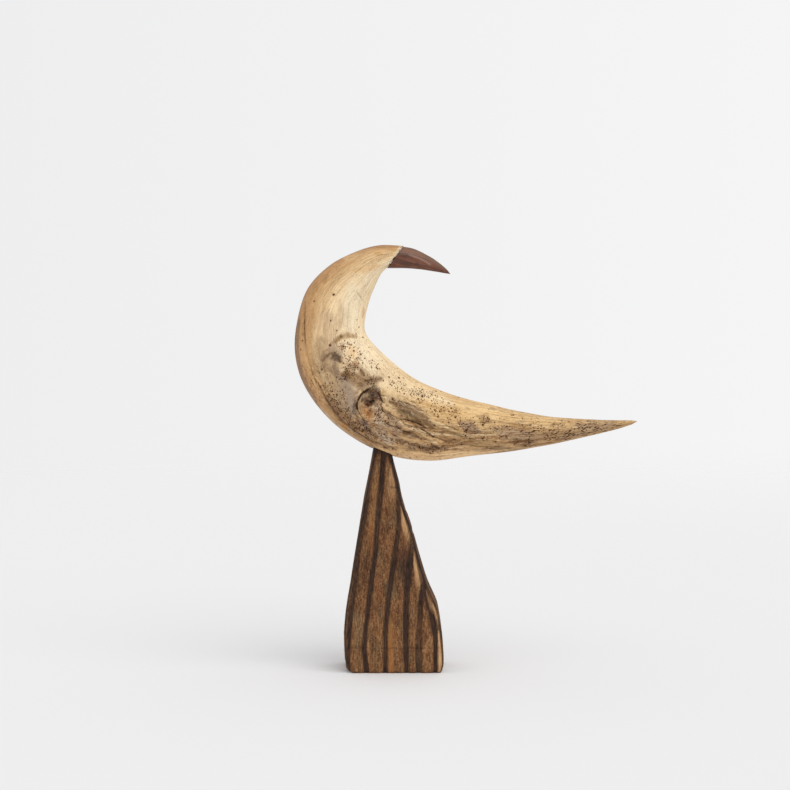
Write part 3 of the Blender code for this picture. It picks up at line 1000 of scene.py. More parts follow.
# Each stain's path, half width, colour, strength, softness and raggedness, in the order of painting.
STAINS = (
    # the neck: honey by the outer edge, grey bloom in the middle, cream inside
    Stain(((-57, 262), (-60.4, 240), (-57, 216)), 6, "#C59C6E", 0.6, 0.8),
    Stain(((-48, 250), (-46, 240), (-46, 230)), 8, "#C3A888", 0.55, 0.9),
    # a darker line along the outer rim: painted shade where the rim turns away from the light
    Stain(((-66.8, 246), (-68.8, 228), (-64, 206), (-55, 190)), 2.2, "#9A7B60", 0.8),
    Stain(((-30, 270), (-30, 256), (-30, 240)), 5.6, "#F8E8C8", 0.75, 0.8),
    Stain(((-38, 260), (-37.4, 250), (-39, 240)), 1.8, "#B69A78", 0.4, 0.95, 0.8),
    Stain(((-47, 278), (-50, 271.6)), 1.8, "#A98456", 0.6),
    Stain(((-54, 271.6), (-57.4, 264)), 2, "#B08B5C", 0.6),
    Stain(((-34, 289), (-18, 290), (-4, 292)), 4.6, "#DDBB8C", 0.7, 0.9),
    Stain(((-30, 280), (-20, 281.6), (-10, 284)), 2.4, "#E0BA86", 0.6),
    Stain(((-14, 292.6), (-9, 291.4)), 1.6, "#C29558", 0.6),
    Stain(((3.6, 297), (1, 292), (-4, 285)), 1.3, "#F3E2C0", 0.8),
    Stain(((-21.6, 254), (-22.4, 247.6)), 1.2, "#B58A58", 0.5, 0.9),
    Stain(((-54.6, 243), (-56, 226), (-50.4, 208), (-44, 198)), 1.9, "#E6CEA4", 0.55),
    # the scar: an arched brown stain, its grey pit and the bloom below it
    Stain(((-44.4, 228.6), (-41, 232), (-38, 234.4)), 2, "#A08562", 0.7, 0.9, 0.7),
    Stain(((-41, 231), (-37.8, 233.8), (-33.6, 235.2), (-29.6, 235.2), (-26.8, 234.2)), 2, "#A28150",
        0.72, 0.95, 0.9),
    Stain(((-37.6, 234.6), (-36.4, 235)), 1.4, "#6E5636", 0.7, 0.6, 0.8),
    Stain(((-46.6, 225.4), (-42.7, 228), (-38, 228.2)), 1.7, "#CDB396", 0.8),
    Stain(((-50.4, 217.8), (-47.6, 221.2), (-44, 223.4)), 1.5, "#7E6A4E", 0.7, 0.8, 0.6),
    Stain(((-46, 221), (-41.6, 221.4), (-38.4, 218.4)), 4.6, "#927C69", 0.7, 0.9, 0.7),
    Stain(((-43.4, 222.6), (-40.4, 221.2), (-38.4, 218)), 2.5, "#665040", 0.85, 0.8, 0.7),
    Stain(((-45.4, 219.8),), 1.1, "#B39C84", 0.6),
    Stain(((-42, 216.6), (-40.8, 209.6), (-37.4, 204.4)), 3, "#94806F", 0.75, 0.9, 0.7),
    Stain(((-46, 226), (-50, 220), (-49.6, 213)), 2.4, "#A98C6A", 0.55, 0.9),
    Stain(((-36.8, 228.6), (-36.4, 226.6)), 1.5, "#8E6B42", 0.7),
    Stain(((-31, 228), (-28, 220)), 3.6, "#EBC795", 0.6),
    Stain(((-28.8, 217.6), (-26, 214.8)), 2, "#B4864F", 0.7),
    # the breast: grey-brown field, brown shade above the knot
    Stain(((-52, 232), (-50, 222), (-45, 210), (-40, 198), (-33, 184)), 6.6, "#A0866A", 0.6, 0.9),
    Stain(((-38, 204), (-34, 190), (-29, 180)), 5.4, "#B39B80", 0.75, 0.9),
    Stain(((-34.4, 206), (-28, 205.6), (-20, 205.6)), 5.4, "#947551", 0.75, 0.8, 0.9),
    Stain(((-36.4, 204), (-34.6, 209.6), (-31, 213.2), (-25.6, 213.6), (-21.4, 209.4)), 2.6, "#8B6B45",
        0.62, 0.95, 0.9),
    Stain(((-35, 208.6), (-26, 207.4), (-17, 204.8), (-9.4, 206.4)), 5, "#8E6D4A", 0.62, 0.9),
    Stain(((-26.4, 196.4), (-22.6, 201.6), (-16, 204), (-10, 205.6)), 2.4, "#6C4C30", 0.6, 0.95, 0.7),
    Stain(((-24, 212.4), (-21.6, 208)), 1.8, "#6B4D2D", 0.5, 0.9, 0.9),
    Stain(((-35.6, 210), (-32, 206)), 2.2, "#75583A", 0.4, 0.9, 0.9),
    Stain(((-46, 192), (-36, 178.6), (-26, 170)), 5, "#8A6B4E", 0.75, 0.8),
    Stain(((-36, 206), (-32, 199), (-29.6, 191), (-28.2, 183)), 4.2, "#A39080", 0.8, 0.8),
    Stain(((-31, 195), (-29.6, 187), (-27, 180.4)), 1.3, "#AC9E8E", 0.6),
    # a dark strip left of the crack: painted shade where the surface dips into it
    Stain(((-27.6, 190.6), (-27.8, 184), (-25.4, 178.4)), 1.3, "#604A38", 0.7, 0.8),
    Stain(((-26, 178), (-18, 170), (-10, 164.6)), 3.4, "#80604A", 0.75, 0.8),
    Stain(((-22.4, 177), (-19.8, 172.6)), 2, "#69534B", 0.8),
    # the knot: bark, an orange heart and pale crumbs
    Stain(((-18.6, 197.2), (-15, 195.6), (-11.6, 192.6)), 4.4, "#4C2D1C", 0.92, 0.6, 0.6),
    Stain(((-22.2, 191.6), (-18, 190.2), (-13.6, 189.6)), 3.2, "#603F2B", 0.85, 0.6, 0.7),
    Stain(((-22.8, 194.4), (-21.6, 192.4)), 1, "#C4AF98", 0.9, 0.6, 0.5),
    Stain(((-21.4, 195.8), (-20.2, 196.4)), 0.7, "#A88F76", 0.8, 0.6, 0.5),
    Stain(((-18.4, 192.2), (-17, 191.8)), 0.7, "#B0937A", 0.85, 0.6, 0.5),
    Stain(((-24, 190.6), (-23.4, 189)), 0.7, "#B59878", 0.8, 0.6, 0.5),
    Stain(((-22.6, 187), (-18.6, 185.6), (-16.6, 183.4)), 2.6, "#98673F", 0.9),
    Stain(((-21, 184.6), (-18.8, 180.8), (-17.6, 176.6)), 2.6, "#C68F57", 0.88, 0.8, 0.5),
    Stain(((-17, 182), (-16.8, 177)), 1.5, "#BA9062", 0.8),
    Stain(((-22.4, 187.4), (-21.6, 186.8)), 0.8, "#E0BC8C", 0.8, 0.6, 0.2),
    Stain(((-18.2, 186), (-16.9, 185.8)), 0.7, "#EBCB9C", 0.85, 0.6, 0.2),
    Stain(((-25, 190), (-24.2, 185.6), (-22.8, 182)), 0.8, "#AC8863", 0.8),
    # near-black spots: painted shade inside the knot's small holes
    Stain(((-17.6, 189.6), (-14.8, 190.6)), 0.8, "#160C07", 1, 0.35, 0.3),
    Stain(((-20, 187.9), (-18.4, 187.3)), 0.7, "#1E120B", 0.9, 0.6, 0.2),
    Stain(((-23, 191.2), (-23.2, 189.6)), 0.7, "#22150D", 0.8, 0.6, 0.2),
    Stain(((-11.8, 196), (-10.2, 192.4), (-8.6, 190)), 1.4, "#6B4C33", 0.85),
    Stain(((-8.2, 197.6), (-7.6, 194.8)), 1.8, "#CDB070", 0.75),
    # right of the knot: speckled grey, taupe ribs, the dark lens and the pale folds
    Stain(((-12.4, 190), (-11.4, 184), (-10.8, 176), (-8.2, 167), (-4.4, 160.6)), 3.5, "#C2AB90", 0.85),
    Stain(((-4, 180), (0, 172), (2, 165)), 5, "#AC927A", 0.7),
    Stain(((-3.4, 190), (6, 186.6), (15, 182), (22, 177.4), (27, 172.4)), 3.4, "#957859", 0.85, 0.6, 0.35),
    Stain(((2, 184), (10, 180.4), (17, 176)), 3, "#8A7150", 0.6),
    Stain(((9, 178), (15, 176), (20.6, 172.6)), 1.3, "#6B4A2A", 0.65),
    Stain(((3, 174.8), (6, 174), (10, 171.8), (16, 170)), 1.1, "#CDAB80", 0.9, 0.6, 0.3),
    Stain(((9, 175.6), (14, 173.8), (20, 170.6)), 0.8, "#B9946A", 0.85),
    Stain(((6, 168), (11, 166.6), (16, 164.6)), 2.6, "#76532F", 0.85),
    Stain(((15.4, 169.6), (19.5, 166.6), (25, 163), (31.6, 158.6)), 1.1, "#D6B88C", 0.85, 0.6, 0.3),
    Stain(((17, 164), (22, 161.4)), 1.8, "#B08A62", 0.7),
    Stain(((23.4, 177.4), (32, 173.4), (44, 168.4)), 1.2, "#DCC59A", 0.75),
    Stain(((27, 169), (40, 163.4), (58, 159.4), (80, 158.4)), 1.5, "#A58760", 0.6),
    Stain(((34, 170.6), (50, 165.4), (70, 162.4)), 1.3, "#A98C64", 0.6),
    Stain(((-10, 164.6), (0, 161.4)), 3.2, "#B3A08C", 0.55),
    # the back: cream with honey, grey patches out to the tail
    Stain(((-12, 214), (4, 203), (22, 194.6), (40, 188)), 4.6, "#F3DDB6", 0.8, 0.9),
    Stain(((16, 189), (34, 182), (54, 177)), 4.8, "#DEBA84", 0.75, 0.8),
    Stain(((57, 179.6), (67, 175.4)), 2.2, "#9A7A54", 0.55, 0.6, 0.9),
    Stain(((46, 174.6), (52, 171.4), (58, 169.4)), 3.8, "#967B66", 0.75, 0.6, 0.9),
    Stain(((70, 170.6), (82, 167.8), (95, 166.4)), 3.4, "#A0846A", 0.7, 0.6, 0.9),
    Stain(((74, 166), (84, 164), (96, 163.6), (106, 165.6)), 4.6, "#AA8C6C", 0.6, 0.9, 0.9),
    Stain(((80, 161.6), (88, 161), (95, 161)), 2.6, "#86633F", 0.75, 0.6, 0.7),
    Stain(((104, 168), (116, 166.6), (130, 168.6)), 2.6, "#A88A66", 0.6, 0.6, 0.9),
    Stain(((126, 172.6), (140, 171.4), (154, 173)), 3.4, "#B0967C", 0.7, 0.9, 0.8),
    Stain(((112, 162.4), (126, 165), (142, 168.4)), 1.6, "#A5896B", 0.6),
    Stain(((66, 184.4), (70.6, 183.4)), 0.7, "#6A4C30", 0.45, 0.6, 0.9),
    Stain(((48.6, 186), (52.6, 184.4)), 0.6, "#6A4C30", 0.35, 0.6, 0.9),
    Stain(((168.4, 174.2), (171, 174.6)), 2.6, "#54443C", 0.8, 0.6, 0.1),
    # the belly: a brown line, a worm-eaten strip and the smooth rim below it
    Stain(((-53.4, 203), (-47.6, 190), (-39.8, 178.6), (-31.8, 170.4), (-22, 163.8), (-8, 157.6)), 1.2,
        "#7C5636", 0.85, 0.6, 0.3),
    Stain(((-50, 189.6), (-42, 177.6), (-33, 168.4), (-20, 160.4)), 1.5, "#BC9566", 0.8),
    Stain(((-36.4, 173.2), (-33.4, 170.8)), 1.1, "#C88C48", 0.85, 0.6, 0.3),
    Stain(((-8, 156.6), (-3, 153.4)), 1.6, "#744A2A", 0.8),
    Stain(((-4, 154.6), (4, 153)), 1.5, "#A87B4A", 0.75),
    Stain(((1, 163.4), (8, 160.6), (16, 157.6), (27, 156.4), (37, 156.6)), 2.4, "#96785A", 0.8, 0.6, 0.9),
    Stain(((19, 160), (24, 158.6)), 1.2, "#CDAF8C", 0.8, 0.6, 0.6),
    Stain(((36, 156.4), (56, 155.2), (80, 156.8)), 1.2, "#8F7152", 0.7),
    Stain(((-52.4, 184.4), (-36, 168.2), (-16, 156)), 1.6, "#D2B494", 0.8),
    # the smooth rim's pale wood, painted brighter still: painted light on its downward face
    Stain(((-15, 156.4), (-3, 152.8), (10, 150.8), (28, 149.6), (46, 151.2), (72, 154.6)), 3.6, "#FFD8A4",
        0.95, 0.85, 0.8, taper=0.9),
    # the other side
    Stain(((-30, 205),), 7.4, "#5E4330", 0.9, side=Side.BACK),
    Stain(((-26, 199), (-30, 194)), 2.2, "#B07A45", 0.85, side=Side.BACK),
    Stain(((-27, 208.6), (-29.6, 207)), 1.3, "#BCA58C", 0.85, side=Side.BACK),
    Stain(((-40, 222), (-46, 208), (-40, 192), (-26, 178)), 8, "#A1866C", 0.75, 0.9, side=Side.BACK),
    Stain(((-48, 256), (-52, 240), (-50, 224)), 7, "#BFA280", 0.7, 0.9, side=Side.BACK),
    Stain(((-30, 262), (-30, 246), (-26, 236)), 6, "#EBD6AE", 0.7, 0.9, side=Side.BACK),
    Stain(((-14, 193), (4, 181), (30, 171)), 3.6, "#86694C", 0.8, side=Side.BACK),
    Stain(((-6, 174), (14, 164), (36, 160)), 3, "#A58A70", 0.75, side=Side.BACK),
    Stain(((6, 200), (30, 189), (56, 181)), 5, "#E3C595", 0.75, 0.9, side=Side.BACK),
    Stain(((48, 168),), 4.4, "#6E533F", 0.8, side=Side.BACK),
    Stain(((76, 168), (100, 168.6)), 4, "#917661", 0.65, 0.6, 0.9, side=Side.BACK),
    Stain(((118, 169), (140, 171), (160, 173.4)), 4, "#8E745E", 0.65, 0.9, side=Side.BACK),
    Stain(((-10, 160), (10, 155.6), (34, 155)), 2.6, "#6E5642", 0.8, 0.6, 0.8, side=Side.BACK),
    Stain(((-57, 208), (-48, 190), (-30, 171), (-8, 159)), 1.4, "#8C6640", 0.75, side=Side.BACK),
)

# Where beetles bored: path, half width and strength.
BORINGS = (
    Boring(((-33, 232), (-30, 224), (-26, 214)), 6, 0.4),
    Boring(((-38, 230), (-35, 225.6)), 2.4, 0.9),
    Boring(((-36, 206), (-30, 212), (-22, 208), (-14, 205)), 6, 0.9),
    Boring(((-46, 206), (-38, 190), (-26, 172)), 6, 0.6),
    Boring(((-36, 180), (-26, 171), (-14, 164)), 4, 1),
    Boring(((-11, 188), (-10, 176), (-6, 166)), 4, 0.9),
    Boring(((-18, 217), (-12, 212)), 3.4, 0.8),
    Boring(((-2, 203), (10, 197), (26, 190), (42, 183.4)), 4.2, 1),
    Boring(((22, 184.6), (36, 180), (50, 178.6)), 3.2, 0.55),
    Boring(((46, 174), (58, 169)), 5, 1),
    Boring(((-2, 163), (12, 158.6), (24, 156.4), (36, 156.4)), 3, 1),
    Boring(((58, 178), (68, 175)), 3.4, 0.9),
    Boring(((66, 171), (84, 168), (98, 167)), 4, 0.95),
    Boring(((60, 165), (64, 164)), 2, 0.9),
    Boring(((84, 161), (95, 160)), 3, 0.7),
    Boring(((94, 173), (104, 172)), 3, 0.8),
    Boring(((104, 163), (120, 165)), 2.6, 0.9),
    Boring(((122, 172.4), (140, 171.4), (156, 173)), 4, 1),
    Boring(((96, 170), (130, 171), (160, 173)), 6, 0.5),
    Boring(((-34, 214), (-22, 200), (-8, 190)), 8, 0.75, side=Side.BACK),
    Boring(((0, 198), (30, 186), (60, 177)), 6, 0.7, side=Side.BACK),
    Boring(((-6, 160), (20, 156), (44, 157)), 4, 0.9, side=Side.BACK),
    Boring(((60, 168), (100, 168), (158, 173)), 6, 0.75, side=Side.BACK),
)

# Single larger beetle holes: x, z and radius.
LONE_HOLES = (
    (-42.3, 264.2, 0.85), (-45.1, 228.7, 0.85), (-25.1, 240.9, 0.6), (-1.8, 191.8, 0.75),
    (-14.0, 181.6, 0.75), (30.0, 179.4, 0.7), (17.0, 157.2, 0.8), (61.0, 173.6, 0.8),
    (69.6, 161.6, 0.8), (49.6, 169.8, 0.75), (-23.0, 168.8, 0.75), (-50.6, 212.4, 0.6),
)


@dataclass
class DriftwoodBird:
    """The body of the bird, one weathered branch from the cut head to the tail's tip.

    Attributes:
        rings_along: rings of points from head to tail, closer together round the knots.
        points_round: points on each ring, closer together on the side that is looked at.
        roundness: the sections' shape: 2 is an ellipse, and more is squarer.
        tail_tip: x and z of the end of the tail.
        rim_depth: how deep the end of the head is hollowed for the beak.
        hole_count: how many beetle holes are tried.
        hole_spacing: the least distance between two holes.
        seed: picks the noise and the holes.
        finish: what it is made of.
    """

    rings_along: int = 436
    points_round: int = 222
    roundness: float = 2.25
    tail_tip: Point = (170.2, 174.6)
    rim_depth: float = 1.3
    hole_count: int = 5200
    hole_spacing: float = 1.25
    seed: int = 7
    finish: WeatheredDriftwood = field(default_factory=WeatheredDriftwood)

    def stations(self) -> Array:
        """Work out the smooth rows of the section table, closest together between scar and folds.

        Returns:
            One row for each ring of points.
        """
        rows = np.array(BIRD_SECTIONS)
        fine = np.linspace(0.0, len(rows) - 1.0, 1600)
        shape = catmull_rom(rows, fine)
        middle = (shape[:, 0:2] + shape[:, 2:4]) / 2.0
        step = (np.linalg.norm(np.diff(middle, axis=0), axis=1)
                + np.linalg.norm(np.diff(shape[:, 0:2], axis=0), axis=1)) / 2.0
        busy = smoothstep(4.6, 6.0, fine) * smoothstep(13.8, 12.4, fine)
        step = step * (0.72 + 0.62 * busy[1:])
        length = np.concatenate(([0.0], np.cumsum(step)))
        even = np.interp(np.linspace(0.0, length[-1], self.rings_along), length, fine)
        return catmull_rom(rows, even)

    def section(self) -> tuple[Array, Array]:
        """Work out the unit section.

        It is the superellipse |height|^n + |depth|^n = 1, with n the roundness. Its points are
        closest together where the depth is least, on the side that is looked at.

        Returns:
            The height and the depth of each point.
        """
        turn = np.linspace(0.0, 2.0 * math.pi, 4001)
        power = 2.0 / self.roundness
        height = np.sign(np.cos(turn)) * np.abs(np.cos(turn)) ** power
        depth = np.sign(np.sin(turn)) * np.abs(np.sin(turn)) ** power
        step = np.hypot(np.diff(height), np.diff(depth)) * (1.0 - 0.28 * depth[1:])
        length = np.concatenate(([0.0], np.cumsum(step)))
        even = np.linspace(0.0, length[-1], self.points_round, endpoint=False)
        return np.interp(even, length, height), np.interp(even, length, depth)

    def shape(self) -> tuple[Skin, Array, Array, Array]:
        """Work out the smooth wood, before its marks.

        A ring's points are its middle, plus the half height times the section's height, plus the half
        thickness times its depth, which points towards +Y.

        Returns:
            The surface, the height (-1 inner edge to 1 outer edge) and depth (-1 front to 1 back) of
            each point in its section, and the length along the wood of each ring.
        """
        rows = self.stations()
        outer, inner, half = rows[:, 0:2], rows[:, 2:4], rows[:, 4]
        middle, reach = (outer + inner) / 2.0, (outer - inner) / 2.0
        up, out = self.section()
        xz = middle[:, None] + up[None, :, None] * reach[:, None]
        rings = np.stack((xz[..., 0], half[:, None] * out, xz[..., 1]), axis=-1)
        along = np.concatenate(([0.0], np.cumsum(np.linalg.norm(np.diff(middle, axis=0), axis=1))))
        start = np.array((middle[0, 0], 0.0, middle[0, 1]))
        end = np.array((self.tail_tip[0], 0.0, self.tail_tip[1]))
        height = np.broadcast_to(up, rings.shape[:2])
        depth = np.broadcast_to(out, rings.shape[:2])
        return Skin(rings, start, end), height, depth, along

    def grain(self, chart: Chart, height: Array, depth: Array, along: Array,
              rows: Array) -> Array:
        """Give each point its place in the grown wood: across, through and along the fibres.

        The fibres run from head to tail and draw together where the wood is thin. Round a knot they
        part like a stream round a stone: the distance across from the knot is multiplied by
        1 - R^2 / r^2 outside its radius R, and inside it the fibres run in rings.

        Args:
            chart: the surface's chart.
            height: place across the section, -1 to 1.
            depth: place through the section, -1 to 1.
            along: length along the wood of each ring.
            rows: the smooth section rows.

        Returns:
            Three millimetre coordinates for each point.
        """
        half = np.linalg.norm(rows[:, 0:2] - rows[:, 2:4], axis=1) / 2.0
        across = height * half[:, None]
        span = np.broadcast_to(along[:, None], height.shape)
        middle = (rows[:, 0:2] + rows[:, 2:4]) / 2.0
        for knot in FRONT_KNOTS + BACK_KNOTS:
            ring = int(np.argmin(np.linalg.norm(middle - knot.centre, axis=1)))
            axis = (rows[ring, 0:2] - rows[ring, 2:4]) / (2.0 * half[ring])
            centre = float(np.dot(np.array(knot.centre) - middle[ring], axis))
            away = across - centre
            r2 = ((span - along[ring]) ** 2 / 1.7 + away**2) * (1.0 + 0.9 * chart.ragged) ** 2
            parted = np.where(r2 > knot.radius**2, away * (1.0 - knot.radius**2 / np.maximum(r2, 1.0)),
                              knot.radius - np.sqrt(r2))
            share = chart.on(knot.side)
            across = across * (1.0 - share) + (centre + parted) * share
        across = across / half[:, None] * 24.0
        return np.stack((across, depth * 20.0, span), axis=-1)

    def fibres(self, grain: Array) -> Array:
        """Work out the raised and sunk fibres.

        Args:
            grain: each point's place in the grown wood.

        Returns:
            The height of the fibres, about -1 to 1.
        """
        broad = fractal(grain * (1.0, 1.0, 0.045), 5.0, 2, self.seed + 10)
        fine = fractal(grain * (1.0, 1.0, 0.05), 2.2, 2, self.seed + 20)
        return 0.5 * broad + 0.7 * fine

    def coarse(self, chart: Chart) -> Array:
        """Tell how rough the wood is: smooth on the neck and the belly's rim, rough by the knots.

        Args:
            chart: the surface's chart.

        Returns:
            The roughness of each point, from 0 to 1.
        """
        x, z = chart.xz[..., 0], chart.xz[..., 1]
        low = smoothstep(256.0, 196.0, z)
        ridge = np.interp(x, (-30.0, -4.5, 13.0, 29.0, 60.0, 100.0),
                          (214.0, 193.0, 188.0, 178.0, 173.0, 172.0))
        upper_back = smoothstep(-1.0, 4.0, z - ridge) * smoothstep(96.0, 56.0, x)
        breast = 1.0 - 0.5 * smoothstep(-14.0, -26.0, x)
        head = 0.16 * smoothstep(262.0, 286.0, z)
        rim = smoothstep(158.0, 153.5, z) * smoothstep(-24.0, -12.0, x) * smoothstep(80.0, 50.0, x)
        rough = low * breast * (1.0 - 0.86 * upper_back) * (1.0 - 0.75 * rim)
        rough *= 1.0 - 0.35 * smoothstep(100.0, 140.0, x)
        return np.clip(0.2 + head + 0.8 * rough, 0.0, 1.0)

    def holes(self, skin: Skin, bored: Array, chart: Chart) -> tuple[Array, Array]:
        """Drop beetle holes on the wood where it is bored, none closer than the least distance.

        The lone larger holes come first.

        Args:
            skin: the surface.
            bored: how thickly each point is bored, from 0 to 1.
            chart: the surface's chart.

        Returns:
            The distance from the nearest hole as a share of its radius, and how far each point sinks.
        """
        rng = np.random.default_rng(self.seed)
        points = skin.rings.reshape(-1, 3)
        chance = bored.ravel() ** 1.5
        picks = rng.choice(len(points), self.hole_count, replace=False, p=chance / chance.sum())
        radii = np.clip(rng.normal(0.35, 0.15, self.hole_count), 0.22, 0.8)
        front = np.where(chart.front > 0.5, 0.0, 999.0)
        lone = [int(np.argmin(np.hypot(chart.xz[..., 0] - x, chart.xz[..., 1] - z) + front))
                for x, z, _ in LONE_HOLES]
        picks = np.concatenate((lone, picks))
        radii = np.concatenate(([radius for _, _, radius in LONE_HOLES], radii))
        kept: list[int] = []
        share = np.full(bored.shape, 9.0)
        places = points[picks]
        count, around = bored.shape
        window = np.arange(-4, 5)
        for n, (pick, place) in enumerate(zip(picks, places)):
            if kept and np.min(np.sum((places[kept] - place) ** 2, axis=1)) < self.hole_spacing**2:
                continue
            kept.append(n)
            ring, column = divmod(int(pick), around)
            patch = np.ix_(np.clip(ring + window, 0, count - 1), (column + window) % around)
            away = np.linalg.norm(skin.rings[patch] - place, axis=-1) / radii[n]
            share[patch] = np.minimum(share[patch], away)
        log.info("beetle holes: %d", len(kept))
        return share, -0.5 * smoothstep(1.15, 0.2, share)

    def colours(self, chart: Chart, height: Array, along: Array, fibres: Array,
                grain: Array) -> Array:
        """Paint the wood: tones inner to outer edge, the stains in order, then painted shade and light.

        Args:
            chart: the surface's chart.
            height: place across the section.
            along: length along the wood of each ring.
            fibres: the raised and sunk fibres, whose hollows get painted shade and tops painted light.
            grain: each point's place in the grown wood.

        Returns:
            Linear colours.
        """
        across = np.array((-1.0, -0.6, 0.0, 0.55, 0.85, 1.0))
        neck = np.array([linear(c) for c in ("#F4E0BB", "#F6E5C5", "#E9D0A8", "#D1AE7E", "#C3996C",
                                             "#AC8765")])
        tail = np.array([linear(c) for c in ("#DDBD8C", "#DCBB88", "#C6A679", "#BF9D72", "#C9A77A",
                                             "#C4A178")])
        share = smoothstep(95.0, 170.0, np.broadcast_to(along[:, None], height.shape))[..., None]
        tones = [np.stack([np.interp(height, across, tone[:, k]) for k in range(3)], axis=-1)
                 for tone in (neck, tail)]
        colour = tones[0] * (1.0 - share) + tones[1] * share
        cloud = fractal(grain * (1.0, 1.0, 0.30), 9.0, 3, self.seed + 60)
        coarse = self.coarse(chart)
        colour = colour * (1.0 + (0.10 + 0.12 * coarse) * cloud)[..., None] ** (0.8, 1.0, 1.25)
        colour = colour * WOOD_GAIN
        for stain in STAINS:
            colour = stain.paint(colour, chart)
        # painted shade in the hollows of the fibres and painted light on their tops
        shade = np.clip(1.0 + 0.26 * coarse * fibres, 0.6, 1.3)
        # painted shade and light on the bark's crumbs, by their height
        crust = np.zeros(height.shape)
        for patch in CRUSTS:
            crust = np.maximum(crust, patch.cover(chart) * min(1.0, patch.rise))
        shade *= np.clip(1.0 + 0.75 * crust * chart.crumbs, 0.45, 1.6)
        colour = colour * shade[..., None]
        return colour / np.maximum(1.0, colour.max(axis=-1, keepdims=True))

    def head_rim(self, skin: Skin, along: Array) -> None:
        """Crumble the rim at the head's cut, then close the head with a hollowed end for the beak.

        Points near the cut are pushed along the wood by noise that fades over 3 mm, and rings of
        shrinking size are added before the first, sunk by the rim's depth.

        Args:
            skin: the surface, which is changed.
            along: length along the wood of each ring.
        """
        ahead = (skin.rings[0] - skin.rings[2]).mean(axis=0)
        ahead /= np.linalg.norm(ahead)
        ragged = fractal(skin.rings, 3.4, 3, self.seed + 40)
        fade = np.exp(-along / 2.4)[:, None]
        skin.rings += ((1.0 + 1.5 * ragged) * fade)[..., None] * ahead
        middle = skin.rings.mean(axis=1, keepdims=True)
        skin.rings += (middle - skin.rings) * (0.07 * np.exp(-along / 1.5))[:, None, None]
        rim, centre = skin.rings[0], skin.rings[0].mean(axis=0)
        caps = []
        for share, sunk in ((0.15, 1.0), (0.45, 1.0), (0.75, 1.0), (0.88, 0.95), (0.93, 0.7),
                            (0.975, 0.15)):
            caps.append(centre + (rim - centre) * share - ahead * sunk * self.rim_depth)
        skin.start = centre - ahead * self.rim_depth
        skin.rings = np.concatenate((np.array(caps), skin.rings))

    def seat(self, skin: Skin) -> None:
        """Press the plinth's seat and the pin's bore into the belly.

        Points under the recess rise to the seat's plane, and points inside the bore rise to its end.

        Args:
            skin: the surface, which is changed.
        """
        fit = SeatFit()
        x, y, z = (skin.rings[..., k] for k in range(3))
        plane = fit.plane(x) + fit.gap
        inside = ((x > fit.left) & (x < fit.right) & (np.abs(y) < fit.half_depth) & (z < plane + 6.0))
        z[inside] = np.maximum(z[inside], plane[inside])
        away = np.hypot(x - fit.pin_x, y)
        near, far = 0.72, 1.22  # the shares of the bore's radius from which points move to its wall
        ring = inside & (away > near * fit.bore) & (away < far * fit.bore)
        scale = np.where(ring, fit.bore / np.maximum(away, 1e-6), 1.0)
        core = inside & (away <= near * fit.bore)
        scale = np.where(core, 1.0 / near, scale)
        x[...] = fit.pin_x + (x - fit.pin_x) * scale
        y[...] = y * scale
        z[core] = fit.bore_top

    def relief(self, chart: Chart, depth: Array, along: Array, fibres: Array,
               skin: Skin) -> Array:
        """Add up how far the marks, the fibres and the crumbs lift the wood.

        Args:
            chart: the surface's chart.
            depth: place through the section.
            along: length along the wood of each ring.
            fibres: the raised and sunk fibres.
            skin: the smooth surface.

        Returns:
            The lift of each point.
        """
        lift = 0.34 * self.coarse(chart) * fibres - 0.12
        lift = lift + 0.5 * fractal(skin.rings, 26.0, 2, self.seed + 30)
        for mark in RELIEFS + CRACKS:
            lift += mark.lift(chart)
        for patch in CRUSTS:
            lift += patch.rise * patch.cover(chart) * chart.crumbs
        lift *= smoothstep(0.0, 6.0, along)[:, None]
        lift *= 0.35 + 0.65 * smoothstep(0.0, 0.35, np.abs(depth))
        return lift * smoothstep(0.0, 14.0, along[-1] - along)[:, None]

    def build(self) -> bpy.types.Object:
        """Make the bird's body, with its marks, and dress it.

        Returns:
            The piece.
        """
        skin, height, depth, along = self.shape()
        xz = skin.rings[..., [0, 2]]
        chart = Chart(xz, smoothstep(0.22, -0.22, depth), fractal(skin.rings, 5.0, 3, self.seed),
                      fractal(skin.rings, 2.2, 2, self.seed + 70))
        grain = self.grain(chart, height, depth, along, self.stations())
        fibres = self.fibres(grain)
        away, half = np.full((3, *depth.shape), 9.0), np.zeros((3, *depth.shape))
        for crack in CRACKS:
            crack.draw(chart, away[crack.layer], half[crack.layer])
        bored = np.full(depth.shape, 0.02) + 0.05 * smoothstep(240.0, 200.0, xz[..., 1])
        for boring in BORINGS:
            bored = np.maximum(bored, boring.strength * boring.cover(chart))
        bored *= smoothstep(300.0, 240.0, xz[..., 1])
        bored *= np.clip(0.45 + 1.7 * fractal(skin.rings, 6.5, 2, self.seed + 50), 0.03, 1.0)
        colour = self.colours(chart, height, along, fibres, grain)
        lift = self.relief(chart, depth, along, fibres, skin)
        # painted shade: the colour is darker where the marks sink the wood
        colour *= (1.0 - 0.25 * np.clip(-lift / 1.8, 0.0, 1.0))[..., None]
        skin.rings += skin.normals() * lift[..., None]
        hole, sink = self.holes(skin, bored, chart)
        skin.rings += skin.normals() * sink[..., None]
        rings_before = len(skin.rings)
        self.head_rim(skin, along)
        added = len(skin.rings) - rings_before
        fit_inside(skin, "bird_body")
        self.seat(skin)
        body = skin.build("driftwood_body")
        store_rings(body, skin, added, {
            "weather_and_shading": colour, "grain": grain, "bored": bored, "hole": hole,
            "rough": self.coarse(chart), "crack_away": np.moveaxis(away, 0, -1),
            "crack_half": np.moveaxis(half, 0, -1)})
        body.data.materials.append(self.finish.make())
        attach(body, "bird")
        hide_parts("bird_body")
        return body


